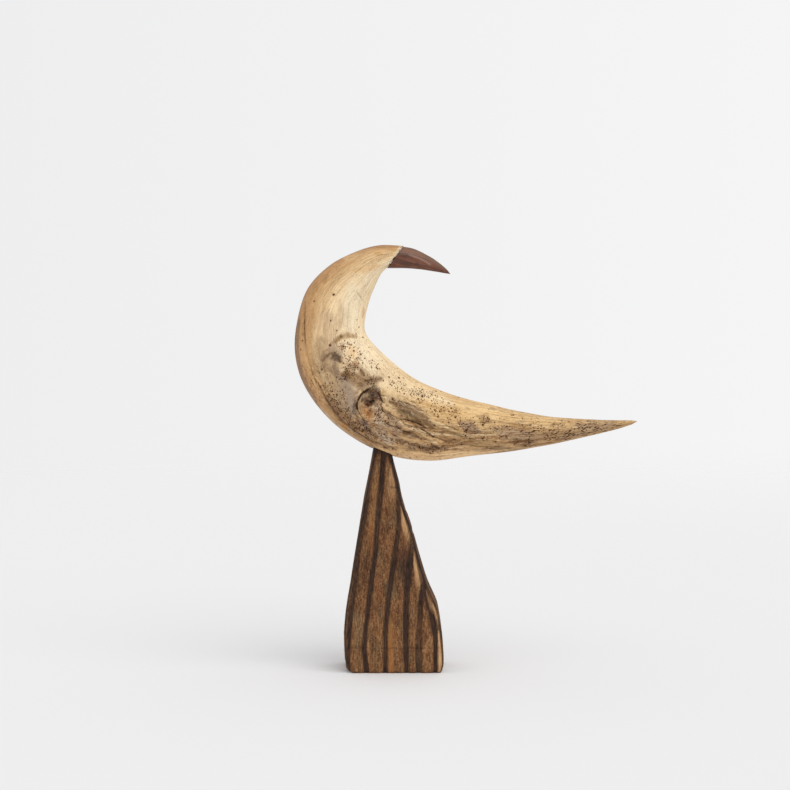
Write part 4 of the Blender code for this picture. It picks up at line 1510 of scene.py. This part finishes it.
@dataclass(frozen=True)
class SeatFit:
    """Where the bird sits on the plinth: a plane that falls towards the tail, and the pin's bore.

    Attributes:
        slope_deg: how steeply the plane falls.
        left: x of the recess's left wall in the belly.
        right: x of its right wall.
        half_depth: half its depth from front to back.
        clearance: the room round the pin.
        gap: how far each wood's own face stays back from the plane.
    """

    slope_deg: float = 21.8
    left: float = -15.6
    right: float = -2.7
    half_depth: float = 9.0
    clearance: float = 0.3
    gap: float = 0.15

    @property
    def pin_box(self) -> tuple[Array, Array]:
        """Return the pin's box, in millimetres."""
        low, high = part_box("mounting_pin")
        return np.array(low) / MM, np.array(high) / MM

    @property
    def pin_x(self) -> float:
        """Return x of the pin's axis."""
        low, high = self.pin_box
        return float(low[0] + high[0]) / 2.0

    @property
    def bore(self) -> float:
        """Return the radius of the bore round the pin."""
        low, high = self.pin_box
        return float(high[0] - low[0]) / 2.0 + self.clearance

    @property
    def bore_top(self) -> float:
        """Return the height of the upper end of the bore."""
        return float(self.pin_box[1][2]) + self.clearance

    @property
    def bore_bottom(self) -> float:
        """Return the height of the lower end of the bore."""
        return float(self.pin_box[0][2]) - self.clearance

    def plane(self, x: Array) -> Array:
        """Return the height at x of the seat's plane, 42 mm above the pin's foot on its axis."""
        foot = float(self.pin_box[0][2])
        return foot + 42.0 - math.tan(math.radians(self.slope_deg)) * (x - self.pin_x)


@dataclass
class BrushedPlinth:
    """The wedge of softwood that the bird stands on.

    Its growth rings stand nearly upright. The soft wood between them is worn away in dark furrows, and
    the harder ribs between the furrows are brown, speckled and pitted.

    Attributes:
        rows: height, left edge, right edge and half depth, from the floor up.
        furrows: the lines of the furrows on the front, as x and z from the foot up.
        tips: the pale tips of the ribs, as a line of x and z, a half width and a strength.
        front_columns: points across the front face, and across the back face.
        side_columns: points across each side face.
        corner_columns: points round each upright edge.
        rows_up: rings of points from floor to seat.
        edge: the radius of the worn edges.
        furrow_depth: how deep the dark furrows are brushed.
        furrow_half: half the width of a furrow.
        seed: picks the noise.
        finish: what it is made of.
    """

    rows: tuple[tuple[float, float, float, float], ...] = (
        (0.0, -34.2, 34.2, 24.0),
        (12.0, -35.4, 34.2, 24.0),
        (28.0, -35.9, 33.0, 23.1),
        (44.5, -34.4, 30.2, 21.4),
        (61.0, -31.6, 23.2, 19.2),
        (80.0, -28.7, 17.4, 16.8),
        (100.0, -25.4, 11.9, 14.5),
        (121.0, -22.0, 5.2, 12.1),
        (131.0, -20.0, 3.3, 11.0),
        (142.0, -17.9, 0.4, 9.8),
        (162.0, -14.2, -4.6, 8.0),
    )
    furrows: tuple[tuple[Point, ...], ...] = (
        ((-33.0, 3.0), (-31.4, 38.5), (-26.0, 79.0), (-16.4, 143.5)),
        ((-19.6, 1.0), (-21.7, 17.0), (-18.5, 49.3), (-13.7, 81.4), (-11.0, 119.0), (-7.8, 151.0)),
        ((-6.7, 3.0), (-6.7, 33.0), (-4.6, 54.6), (-0.8, 78.2), (2.4, 101.7), (2.9, 126.4)),
        ((8.3, 1.0), (7.7, 27.8), (8.2, 54.6), (10.4, 76.0), (12.0, 97.4)),
        ((16.8, 3.0), (17.0, 24.6), (17.9, 49.3), (20.6, 67.5)),
        ((28.2, 1.0), (28.2, 18.0), (27.4, 30.0), (25.4, 41.0), (23.6, 48.0)),
    )
    tips: tuple[tuple[tuple[Point, ...], float, float], ...] = (
        (((4.0, 116.0), (6.0, 106.0), (9.6, 96.0), (10.8, 86.0)), 2.8, 0.80),
        (((13.6, 84.4), (14.4, 75.6), (17.0, 65.6), (17.6, 54.0)), 2.4, 0.75),
        (((21.7, 58.0), (24.4, 49.4), (28.4, 39.4), (30.4, 33.0)), 1.9, 1.0),
        (((30.4, 30.0), (31.0, 18.0), (31.6, 3.0), (31.6, -16.0)), 2.3, 0.95),
        (((-1.0, 148.0), (-2.0, 140.0), (-2.4, 129.4), (-1.8, 112.0)), 3.6, 0.42),
    )
    front_columns: int = 96
    side_columns: int = 62
    corner_columns: int = 6
    rows_up: int = 236
    edge: float = 2.4
    furrow_depth: float = 0.9
    furrow_half: float = 1.85
    seed: int = 21
    finish: ScorchedSoftwood = field(default_factory=ScorchedSoftwood)

    def outline(self, left: Array, right: Array, half: Array, edge: float) -> Array:
        """Return a rectangle with round corners for each set of sizes.

        The sides run straight between the corner arcs, and each arc is a quarter of a circle.

        Args:
            left: x of the left side, one for each ring and column.
            right: x of the right side.
            half: half the depth.
            edge: the radius of the corners.

        Returns:
            x and y, along the last axis.
        """
        turn = np.linspace(0.0, math.pi / 2.0, self.corner_columns + 2)[1:-1]
        parts = []
        for quarter, count in enumerate((self.front_columns, self.side_columns) * 2):
            out = ((0, -1), (1, 0), (0, 1), (-1, 0))[quarter]
            way = (-out[1], out[0])
            flat = out + np.linspace(-1.0, 1.0, count)[:, None] * way
            parts.append(np.hstack((flat, np.tile(out, (count, 1)))))
            arc = turn + (quarter - 1) * math.pi / 2.0
            corner = np.tile(np.add(out, way), (len(arc), 1))
            parts.append(np.column_stack((corner, np.cos(arc), np.sin(arc))))
        side = np.vstack(parts)
        middle, reach = (left + right) / 2.0, (right - left) / 2.0
        x = middle + side[:, 0] * (reach - edge) + side[:, 2] * edge
        y = side[:, 1] * (half - edge) + side[:, 3] * edge
        return np.stack((x, y), axis=-1)

    def sizes_at(self, z: Array) -> tuple[Array, Array, Array]:
        """Work out the left edge, the right edge and the half depth.

        Args:
            z: the heights.

        Returns:
            Those three, halfway between a smooth curve through the rows and straight lines.
        """
        fine = catmull_rom(np.array(self.rows), np.linspace(0.0, len(self.rows) - 1.0, 600))
        return tuple(0.5 * np.interp(z, fine[:, 0], fine[:, k])
                     + 0.5 * np.interp(z, [row[0] for row in self.rows], [row[k] for row in self.rows])
                     for k in (1, 2, 3))

    def shape(self, fit: SeatFit) -> Skin:
        """Work out the smooth wedge: rings from the floor to the sloping seat, then the seat itself
        and the walls of the bore, whose end closes the surface.

        Each upright line of points runs from the floor to the seat's plane, and its points keep the
        same share of that height.

        Args:
            fit: the seat and the pin.

        Returns:
            The surface.
        """
        columns = 2 * (self.front_columns + self.side_columns) + 4 * self.corner_columns
        top = np.full(columns, fit.plane(fit.pin_x))
        for _ in range(6):
            ring = self.outline(*self.sizes_at(top), self.edge)
            top = fit.plane(ring[:, 0]) - fit.gap
        share = np.linspace(0.0, 1.0, self.rows_up)[:, None]
        z = share * top
        rings = np.concatenate((self.outline(*self.sizes_at(z), self.edge), z[..., None]), axis=-1)
        rim = rings[-1]
        angle = np.arctan2(rim[:, 1], rim[:, 0] - fit.pin_x)
        circle = np.stack((fit.pin_x + fit.bore * np.cos(angle), fit.bore * np.sin(angle)), axis=-1)
        seat = []
        for part in (0.12, 0.3, 0.5, 0.7, 0.86, 0.96, 1.0):
            flat = rim[:, :2] * (1.0 - part) + circle * part
            seat.append(np.column_stack((flat, fit.plane(flat[:, 0]) - fit.gap)))
        for height in np.linspace(0.96, 0.0, 10):
            level = fit.bore_bottom + (seat[6][:, 2] - fit.bore_bottom) * height
            seat.append(np.column_stack((circle, level)))
        rings = np.concatenate((rings, np.array(seat)))
        end = np.array((fit.pin_x, 0.0, fit.bore_bottom))
        return Skin(rings, rings[0].mean(axis=0), end)

    def add_base(self, skin: Skin) -> int:
        """Close the foot with flat rings that follow its worn outline.

        Args:
            skin: the surface, which is changed.

        Returns:
            How many rings are added.
        """
        foot, centre = skin.rings[0] * (1.0, 1.0, 0.0), skin.start
        base = [centre + (foot - centre) * part for part in (*np.linspace(0.06, 0.95, 18), 0.985)]
        skin.rings = np.concatenate((np.array(base), skin.rings))
        return len(base)

    def ring_place(self, points: Array) -> Array:
        """Work out x as if the growth rings ran straight back, so that furrows show on every side.

        The rings curve: the further back, the more they shift to the left.

        Args:
            points: positions in the wood.

        Returns:
            The x at which each point's growth ring meets the front.
        """
        back = points[..., 1] + self.sizes_at(points[..., 2])[2]
        wobble = 0.9 * fractal(points * (1.0, 1.0, 0.12), 9.0, 2, self.seed)
        return points[..., 0] + 0.30 * back + 0.006 * back**2 + wobble

    def lines_at(self, z: Array) -> list[Array]:
        """Work out where each furrow runs, carried on straight past its ends.

        Args:
            z: the heights.

        Returns:
            x at those heights, for each line.
        """
        lines = []
        for path in self.furrows:
            (x0, z0), (x1, z1) = path[-2:]
            line = np.interp(z, *np.array(path)[:, ::-1].T)
            lines.append(line + np.maximum(z - z1, 0.0) * (x1 - x0) / (z1 - z0))
        return [lines[0] - 10.0] + lines + [lines[-1] + 9.5 * k for k in range(1, 7)]

    def furrow(self, points: Array) -> Array:
        """Work out how deep in a furrow each point is: 1 in its middle, 0 on the ribs.

        Args:
            points: positions in the wood.

        Returns:
            The depth, from 0 to 1.
        """
        x = self.ring_place(points)
        width = self.furrow_half * (1.0 + 0.5 * fractal(points * (1.0, 1.0, 0.25), 14.0, 2,
                                                        self.seed + 5))
        nearest = np.min(np.abs(np.array([x - line for line in self.lines_at(points[..., 2])])),
                         axis=0)
        return smoothstep(1.32, 0.62, nearest / np.maximum(width, 0.8))

    def rib_tips(self, points: Array) -> Array:
        """Work out how pale the wood is where a rib runs out at the right edge in a narrow tip.

        Args:
            points: positions in the wood.

        Returns:
            The share of pale wood, from 0 to 1.
        """
        ragged = 0.3 * fractal(points * (1.0, 1.0, 0.3), 5.0, 2, self.seed + 29)
        pale = np.zeros(points.shape[:2])
        for path, width, strength in self.tips:
            away, place, _ = near_path(points[..., [0, 2]], path)
            narrowed = width * np.minimum(1.2, 0.15 + 1.7 * place)
            faded = strength * smoothstep(1.0, 0.4, place)
            pale = np.maximum(pale, faded * smoothstep(1.3, 0.5, away / narrowed + ragged))
        return pale

    def build(self) -> bpy.types.Object:
        """Make the plinth, with its furrows, pits and burnt edges, and dress it.

        Returns:
            The piece.
        """
        fit = SeatFit()
        skin = self.shape(fit)
        points = skin.rings.copy()
        x, y, z = (points[..., k] for k in range(3))
        below_seat = fit.plane(x) - fit.gap - z
        outer = np.broadcast_to(np.arange(len(points))[:, None] < self.rows_up, x.shape)
        left, right, half = self.sizes_at(z)
        to_right, to_left = right - x, x - left
        corner = np.hypot(np.minimum(to_right, to_left), np.minimum(half + y, half - y))
        on_front = smoothstep(3.2, 0.8, half + y)
        furrow = self.furrow(points)
        pits = fractal(points * (1.0, 1.0, 0.6), 2.4, 3, self.seed + 9)
        broad = fractal(points * (1.0, 1.0, 0.2), 14.0, 2, self.seed + 14)
        worn = fractal(points * (1.0, 1.0, 0.4), 7.0, 3, self.seed + 17)

        lift = -self.furrow_depth * furrow + 0.20 * broad - 0.2
        lift -= 0.42 * smoothstep(0.18, 0.62, pits) * (1.0 - 0.5 * furrow)
        wear = np.zeros(x.shape)
        for foot_x, tall, far, near, most in ((-35.6, 1.5, 7.0, 1.5, 2.4), (34.2, 1.3, 6.0, 1.0, 1.6)):
            chip = np.sqrt((x - foot_x) ** 2 + ((y + 24.0) / 1.6) ** 2 + (z / tall) ** 2)
            wear += most * smoothstep(far, near, chip + 1.2 * worn)
        wear += 0.8 * smoothstep(4.0, 0.5, corner) * smoothstep(-0.3, 0.6, worn)
        wear += (1.4 + 0.8 * worn) * smoothstep(3.0, 0.0, z) ** 2
        saw_mark = smoothstep(0.7, 0.0, np.abs(z - 17.7 - 0.4 * worn)) * on_front
        lift -= 0.22 * saw_mark
        hold = np.where(outer, 0.35 + 0.65 * smoothstep(0.0, 8.0, below_seat), 0.0)
        normals = skin.normals()
        broad_way = np.mean([np.roll(normals, k, axis=1) for k in range(-10, 11)], axis=0)
        skin.rings = points + (normals * lift[..., None] - broad_way * wear[..., None]) * hold[..., None]
        skin.rings[0, :, 2] = 0.25 + 0.6 * smoothstep(-0.4, 0.5, worn[0])
        added = self.add_base(skin)

        uneven = fractal(points * (1.0, 1.0, 0.35), 11.0, 2, self.seed + 23)
        char = furrow * np.clip(0.90 + 0.45 * uneven, 0.45, 1.0)
        char += 0.75 * smoothstep(7.0, 1.0, below_seat + 3.0 * worn)
        char += 0.30 * smoothstep(1.2, 0.3, to_right) * smoothstep(2.0, 5.0, half + y)
        for at_x, at_z, wide, tall, strength in ((7.0, 74.0, 5.0, 16.0, 0.8), (26.4, 35.0, 2.6, 8.0, 0.7)):
            cloud = np.hypot((x - at_x) / wide, (z - at_z) / tall) + 0.5 * worn
            char += strength * smoothstep(1.4, 0.4, cloud) * on_front
        char += 0.3 * saw_mark
        soot = 0.9 * smoothstep(2.4, 0.7, corner + 0.9 * worn) * smoothstep(-0.6, 0.3, worn + 0.2)
        place = self.ring_place(points)
        amber = 0.55 * smoothstep(3.0, 0.4, np.abs(place + 2.9) + 0.8 * worn)
        amber *= smoothstep(46.0, 26.0, z)
        upper = smoothstep(3.0, 0.6, np.abs(place - np.interp(z, (96.0, 140.0), (-17.6, -11.4))))
        amber += 0.22 * upper * smoothstep(80.0, 104.0, z) * smoothstep(146.0, 124.0, z)
        pale = self.rib_tips(points) * (1.0 - 0.4 * furrow) * smoothstep(0.7, 1.5, to_right) * on_front
        char *= 1.0 - 0.85 * pale
        char += 0.5 * smoothstep(1.2, 0.3, np.abs(z - 129.0)) * smoothstep(-5.0, -3.0, x) * on_front

        piece = skin.build("softwood_plinth")
        tone = np.interp(z, (0.0, 24.0, 50.0, 75.0, 100.0, 135.0, 150.0),
                         (0.75, 0.7, 0.3, 0.05, 0.25, 0.6, 0.7)) + 0.3 * uneven
        foot = skin.rings[:added]
        bare = np.zeros(foot.shape[:2])
        for name, values, below in (("char", char, 0.5 * self.furrow(foot)), ("soot", soot, bare),
                                    ("amber", amber, bare), ("pale", pale, bare),
                                    ("tone", tone, bare + 0.4)):
            values = np.where(outer, np.clip(values, 0.0, 1.0), 0.0)
            store(piece, name, skin.spread(np.concatenate((below, values))))
        grain = np.stack((place, points[..., 1], z), axis=-1)
        below = np.stack((self.ring_place(foot), foot[..., 1], foot[..., 2]), axis=-1)
        store(piece, "grain", skin.spread(np.concatenate((below, grain))))
        piece.data.materials.append(self.finish.make())
        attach(piece, "stand")
        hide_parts("plinth")
        return piece


@dataclass
class CarvedBeak:
    """The beak: a cone cut in flat facets, with the knife's soft edges between them.

    Attributes:
        sections: top x and z, bottom x and z, and half the thickness, from the head to near the point.
        point: x and z of the point.
        painted_highlight: a paler streak along its side, a painted highlight.
        corners: the facets' corners on one side, as place across and place out of the section.
        rings_along: rings from head to point.
        points_round: points on each ring.
        softening: how many points each way the edges are softened over.
        seed: picks the noise.
        finish: what it is made of.
    """

    sections: tuple[tuple[float, float, float, float, float], ...] = (
        (5.4, 297.0, -5.6, 281.9, 6.8),
        (13.4, 295.2, 8.0, 281.9, 6.4),
        (22.4, 290.9, 19.0, 280.9, 4.9),
        (30.6, 285.7, 28.4, 279.4, 3.1),
        (36.2, 281.0, 35.2, 278.2, 1.3),
    )
    point: Point = (39.0, 277.6)
    painted_highlight: tuple[Point, ...] = ((10.0, 291.6), (17.0, 288.8), (24.6, 284.6))
    corners: tuple[Point, ...] = ((1.0, 0.22), (0.42, 0.86), (-0.50, 0.96), (-1.0, 0.40))
    rings_along: int = 96
    points_round: int = 112
    softening: int = 3
    seed: int = 33
    finish: OiledHardwood = field(default_factory=OiledHardwood)

    def facets(self) -> tuple[Array, Array]:
        """Work out the unit section with softened corners, and how near each point is to a corner.

        Returns:
            The section, and the nearness from 0 to 1.
        """
        mirrored = tuple((up, -out) for up, out in reversed(self.corners))
        corners = np.array(self.corners + mirrored)
        closed = np.vstack((corners, corners[:1]))
        length = np.concatenate(([0.0], np.cumsum(np.linalg.norm(np.diff(closed, axis=0), axis=1))))
        even = np.linspace(0.0, length[-1], self.points_round, endpoint=False)
        section = np.stack([np.interp(even, length, closed[:, k]) for k in (0, 1)], axis=-1)
        gap = np.abs((even[:, None] - length[None, :] + length[-1] / 2) % length[-1] - length[-1] / 2)
        edge = smoothstep(0.16, 0.0, gap.min(axis=1))
        soft = np.mean([np.roll(section, k, axis=0) for k in range(-self.softening,
                                                                   self.softening + 1)], axis=0)
        return soft, edge

    def build(self) -> bpy.types.Object:
        """Make the beak, its facets slightly hollow and its point blunt, and dress it.

        Returns:
            The piece.
        """
        rows = np.array(self.sections + ((*self.point, *self.point, 0.25),))
        shape = catmull_rom(rows, np.linspace(0.0, len(rows) - 1.02, self.rings_along))
        section, edge = self.facets()
        top, low = shape[:, 0:2], shape[:, 2:4]
        xz = ((top + low) / 2.0)[:, None] + section[None, :, :1] * ((top - low) / 2.0)[:, None]
        y = shape[:, 4:5] * section[None, :, 1]
        rings = np.stack((xz[..., 0], y, xz[..., 1]), axis=-1)
        back, tip = rings[0].mean(axis=0), rings[-1].mean(axis=0)
        ahead = tip - rings[-3].mean(axis=0)
        tip = tip + ahead / np.linalg.norm(ahead) * 0.35
        plain = Skin(rings, back, tip)
        cut = fractal(rings * (0.35, 1.0, 1.0), 7.0, 2, self.seed)
        thick = np.linalg.norm(top - low, axis=1)[:, None]
        lift = (0.22 * cut - 0.18 * (1.0 - edge)[None]) * np.minimum(1.0, thick / 9.0)
        plain.rings = rings + plain.normals() * lift[..., None]
        caps = [back + (plain.rings[0] - back) * share for share in (0.2, 0.55, 0.85, 0.96)]
        skin = Skin(np.concatenate((np.array(caps), plain.rings)), back, tip)
        fit_inside(skin, "beak")
        piece = skin.build("hardwood_beak")
        along = np.broadcast_to(np.linspace(0.0, 42.0, self.rings_along)[:, None], y.shape)
        grain = np.stack((section[None, :, 0] * thick / 2.0 + 0.18 * along, y, along), axis=-1)
        edges = np.broadcast_to(edge, y.shape)
        # how far the painted light on the upper facets reaches
        upper = 0.42 * smoothstep(0.30, 0.66, section[:, 0] + 0.10 * cut)
        # the painted highlight: a paler streak along the side
        away, _, _ = near_path(xz, self.painted_highlight)
        painted_highlight = 0.5 * smoothstep(1.5, 0.2, away + 0.5 * cut)
        store_rings(piece, skin, len(caps),
                    {"grain": grain, "edge": edges, "upper": upper, "painted_highlight": painted_highlight})
        piece.data.materials.append(self.finish.make())
        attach(piece, "bird")
        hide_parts("beak")
        return piece


@dataclass(frozen=True)
class TurnedRod:
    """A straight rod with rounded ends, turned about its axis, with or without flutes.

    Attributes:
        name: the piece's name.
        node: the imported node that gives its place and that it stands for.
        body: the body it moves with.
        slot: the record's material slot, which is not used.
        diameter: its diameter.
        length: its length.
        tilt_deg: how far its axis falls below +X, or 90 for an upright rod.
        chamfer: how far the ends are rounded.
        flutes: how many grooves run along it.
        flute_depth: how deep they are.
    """

    name: str
    node: str
    body: str
    slot: str
    diameter: float
    length: float
    tilt_deg: float
    chamfer: float = 0.5
    flutes: int = 0
    flute_depth: float = 0.0

    def build(self, material: bpy.types.Material) -> bpy.types.Object:
        """Make the rod round the middle of its node's box, and dress it.

        The ends are quarter circles of the chamfer's radius, and the flutes follow a cosine round it.

        Args:
            material: what it is made of.

        Returns:
            The piece.
        """
        low, high = (np.array(corner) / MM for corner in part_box(self.node))
        tilt = math.radians(self.tilt_deg)
        axis = np.array((math.cos(tilt), 0.0, math.sin(tilt)))
        across = np.array((-math.sin(tilt), 0.0, math.cos(tilt)))
        bend = np.linspace(0.0, math.pi / 2.0, 7)
        radius, half = self.diameter / 2.0, self.length / 2.0
        end_r = radius - self.chamfer * (1.0 - np.sin(bend))
        end_s = half - self.chamfer * (1.0 - np.cos(bend))
        station = np.concatenate(([-half], -end_s, np.linspace(-0.96, 0.96, 60) * end_s[-1],
                                  end_s[::-1], [half]))
        radii = np.concatenate(([end_r[0] * 0.6], end_r, np.full(60, radius), end_r[::-1],
                                [end_r[0] * 0.6]))
        turn = np.linspace(0.0, 2.0 * math.pi, 96, endpoint=False)
        groove = 0.0
        if self.flutes:
            held = smoothstep(half, half - 2.0, np.abs(station))[:, None]
            groove = self.flute_depth * held * smoothstep(0.1, 1.0, np.cos(self.flutes * turn))
        wide = (radii[:, None] - groove)[..., None]
        rings = ((low + high) / 2.0 + station[:, None, None] * axis
                 + wide * (np.cos(turn)[:, None] * across + np.sin(turn)[:, None] * (0.0, 1.0, 0.0)))
        skin = Skin(rings, rings[0].mean(axis=0), rings[-1].mean(axis=0))
        piece = skin.build(self.name)
        piece.data.materials.append(material)
        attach(piece, self.body)
        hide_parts(self.node)
        return piece


@dataclass(frozen=True)
class Studio:
    """A plain pale floor that fades into a plain pale background, soft light, and the camera.

    Attributes:
        floor_radius: the floor's radius, in metres.
        fade: the radii between which the floor gives way to the background.
        pale: the background's colour on the left and on the right.
        sky_strength: how strongly the background lights the bird.
        key_strength: the strength of the main light.
        key_from: the direction that the main light comes from.
        key_angle_deg: how wide the main light is, which softens its shadows.
        camera_at: the camera's place, in metres from the foot of the plinth.
        aim_height: the height it looks at.
        lens: its focal length on a 36 mm frame.
    """

    floor_radius: float = 2.6
    fade: tuple[float, float] = (0.55, 1.9)
    pale: tuple[str, str] = ("#EEEEEF", "#F5F5F5")
    sky_strength: float = 0.80
    key_strength: float = 1.2
    key_from: tuple[float, float, float] = (0.45, -0.65, 1.0)
    key_angle_deg: float = 56.0
    camera_at: tuple[float, float, float] = (0.0, -1.75, 0.315)
    aim_height: float = 0.193
    lens: float = 114.0

    def lay_floor(self) -> bpy.types.Object:
        """Lay a round pale floor whose edge fades out, so that no horizon shows.

        Returns:
            The floor.
        """
        radii = np.linspace(0.05, 1.0, 24) ** 1.5 * self.floor_radius / MM
        turn = np.linspace(0.0, 2.0 * math.pi, 96, endpoint=False)
        x, y = radii[:, None] * np.cos(turn), radii[:, None] * np.sin(turn)
        points = np.stack((x, y, np.zeros_like(x)), axis=-1)
        flat = np.vstack(([[0.0, 0.0, 0.0]], points.reshape(-1, 3))) * MM
        count, around = x.shape
        upwards = ring_quads(count, around)[:, [0, 3, 2, 1]]
        faces = [(0, 1 + k, 1 + (k + 1) % around) for k in range(around)] + upwards.tolist()
        mesh = bpy.data.meshes.new("studio_floor")
        mesh.from_pydata(flat.tolist(), [], faces)
        mesh.shade_smooth()
        floor = bpy.data.objects.new("studio_floor", mesh)
        bpy.context.scene.collection.objects.link(floor)
        f = Finish("paper_matt_white", Base_Color=rgba("#EFEFF0"), Roughness=0.9)
        place = f.add("TexCoord").outputs["Object"]
        radius = f.add("VectorMath", {"operation": "LENGTH"}, i0=place).outputs["Value"]
        clear = f.add("BsdfTransparent")
        fading = f.add("MixShader", i0=f.ramp(radius, *self.fade), i1=f.shader.outputs[0], i2=clear)
        output = f.tree.nodes["Material Output"]
        f.tree.links.new(fading.outputs[0], output.inputs["Surface"])
        mesh.materials.append(f.material)
        return floor

    def light(self) -> None:
        """Light the scene with a wide soft key from the front right, and an even pale surround.

        The surround looks as bright as the floor, but lights the bird less strongly than it looks.
        """
        sun = bpy.data.lights.new("soft_key", "SUN")
        sun.energy = self.key_strength
        sun.angle = math.radians(self.key_angle_deg)
        sun.color = (1.0, 0.985, 0.96)
        lamp = bpy.data.objects.new("soft_key", sun)
        lamp.rotation_euler = Vector(self.key_from).to_track_quat("Z", "Y").to_euler()
        bpy.context.scene.collection.objects.link(lamp)
        world = bpy.data.worlds.new("pale_surround")
        world.use_nodes = True
        tree = world.node_tree
        tree.nodes.clear()
        place = add_node(tree, "TexCoord").outputs["Generated"]
        apart = add_node(tree, "SeparateXYZ", Vector=place)
        spread = add_node(tree, "MapRange", Value=apart.outputs["X"], From_Min=-0.16, From_Max=0.16)
        tone = add_node(tree, "Mix", {"data_type": "RGBA"}, i0=spread, i6=rgba(self.pale[0]),
                        i7=rgba(self.pale[1]))
        path = add_node(tree, "LightPath")
        seen = add_node(tree, "MapRange", Value=path.outputs["Is Camera Ray"],
                        To_Min=self.sky_strength, To_Max=1.0)
        surround = add_node(tree, "Background", Color=tone.outputs[2], Strength=seen)
        add_node(tree, "OutputWorld", Surface=surround)
        bpy.context.scene.world = world

    def place_camera(self) -> bpy.types.Object:
        """Put the camera in front of the plinth, a little above its middle, and aim it.

        Returns:
            The camera.
        """
        low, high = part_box("plinth")
        foot = Vector((0.0, (low.y + high.y) / 2.0, low.z))
        data = bpy.data.cameras.new("camera")
        data.lens = self.lens
        data.clip_end = 50.0
        camera = bpy.data.objects.new("camera", data)
        camera.location = foot + Vector(self.camera_at)
        aim = foot + Vector((self.camera_at[0], 0.0, self.aim_height))
        camera.rotation_euler = (aim - camera.location).to_track_quat("-Z", "Y").to_euler()
        bpy.context.scene.collection.objects.link(camera)
        bpy.context.scene.camera = camera
        return camera


def main() -> None:
    """Build every piece, then the floor, the light and the camera."""
    logging.basicConfig(level=logging.INFO, format="%(name)s: %(message)s")
    pieces = [DriftwoodBird().build(), BrushedPlinth().build(), CarvedBeak().build()]
    pin = TurnedRod("mounting_pin_steel", "mounting_pin", "stand", "bright_steel", diameter=5.0,
                    length=78.0, tilt_deg=90.0)
    dowel = TurnedRod("beak_dowel_fluted", "beak_dowel", "bird", "beech_dowel", diameter=4.0,
                      length=22.0, tilt_deg=-8.0, chamfer=0.6, flutes=14, flute_depth=0.16)
    pieces += [pin.build(DrawnSteel().make()), dowel.build(TurnedBeech().make())]
    for piece in pieces:
        log.info("%s: %d faces", piece.name, len(piece.data.polygons))
    studio = Studio()
    studio.lay_floor()
    studio.light()
    studio.place_camera()
    bpy.context.scene.view_settings.view_transform = "Standard"


if __name__ == "__main__":
    main()
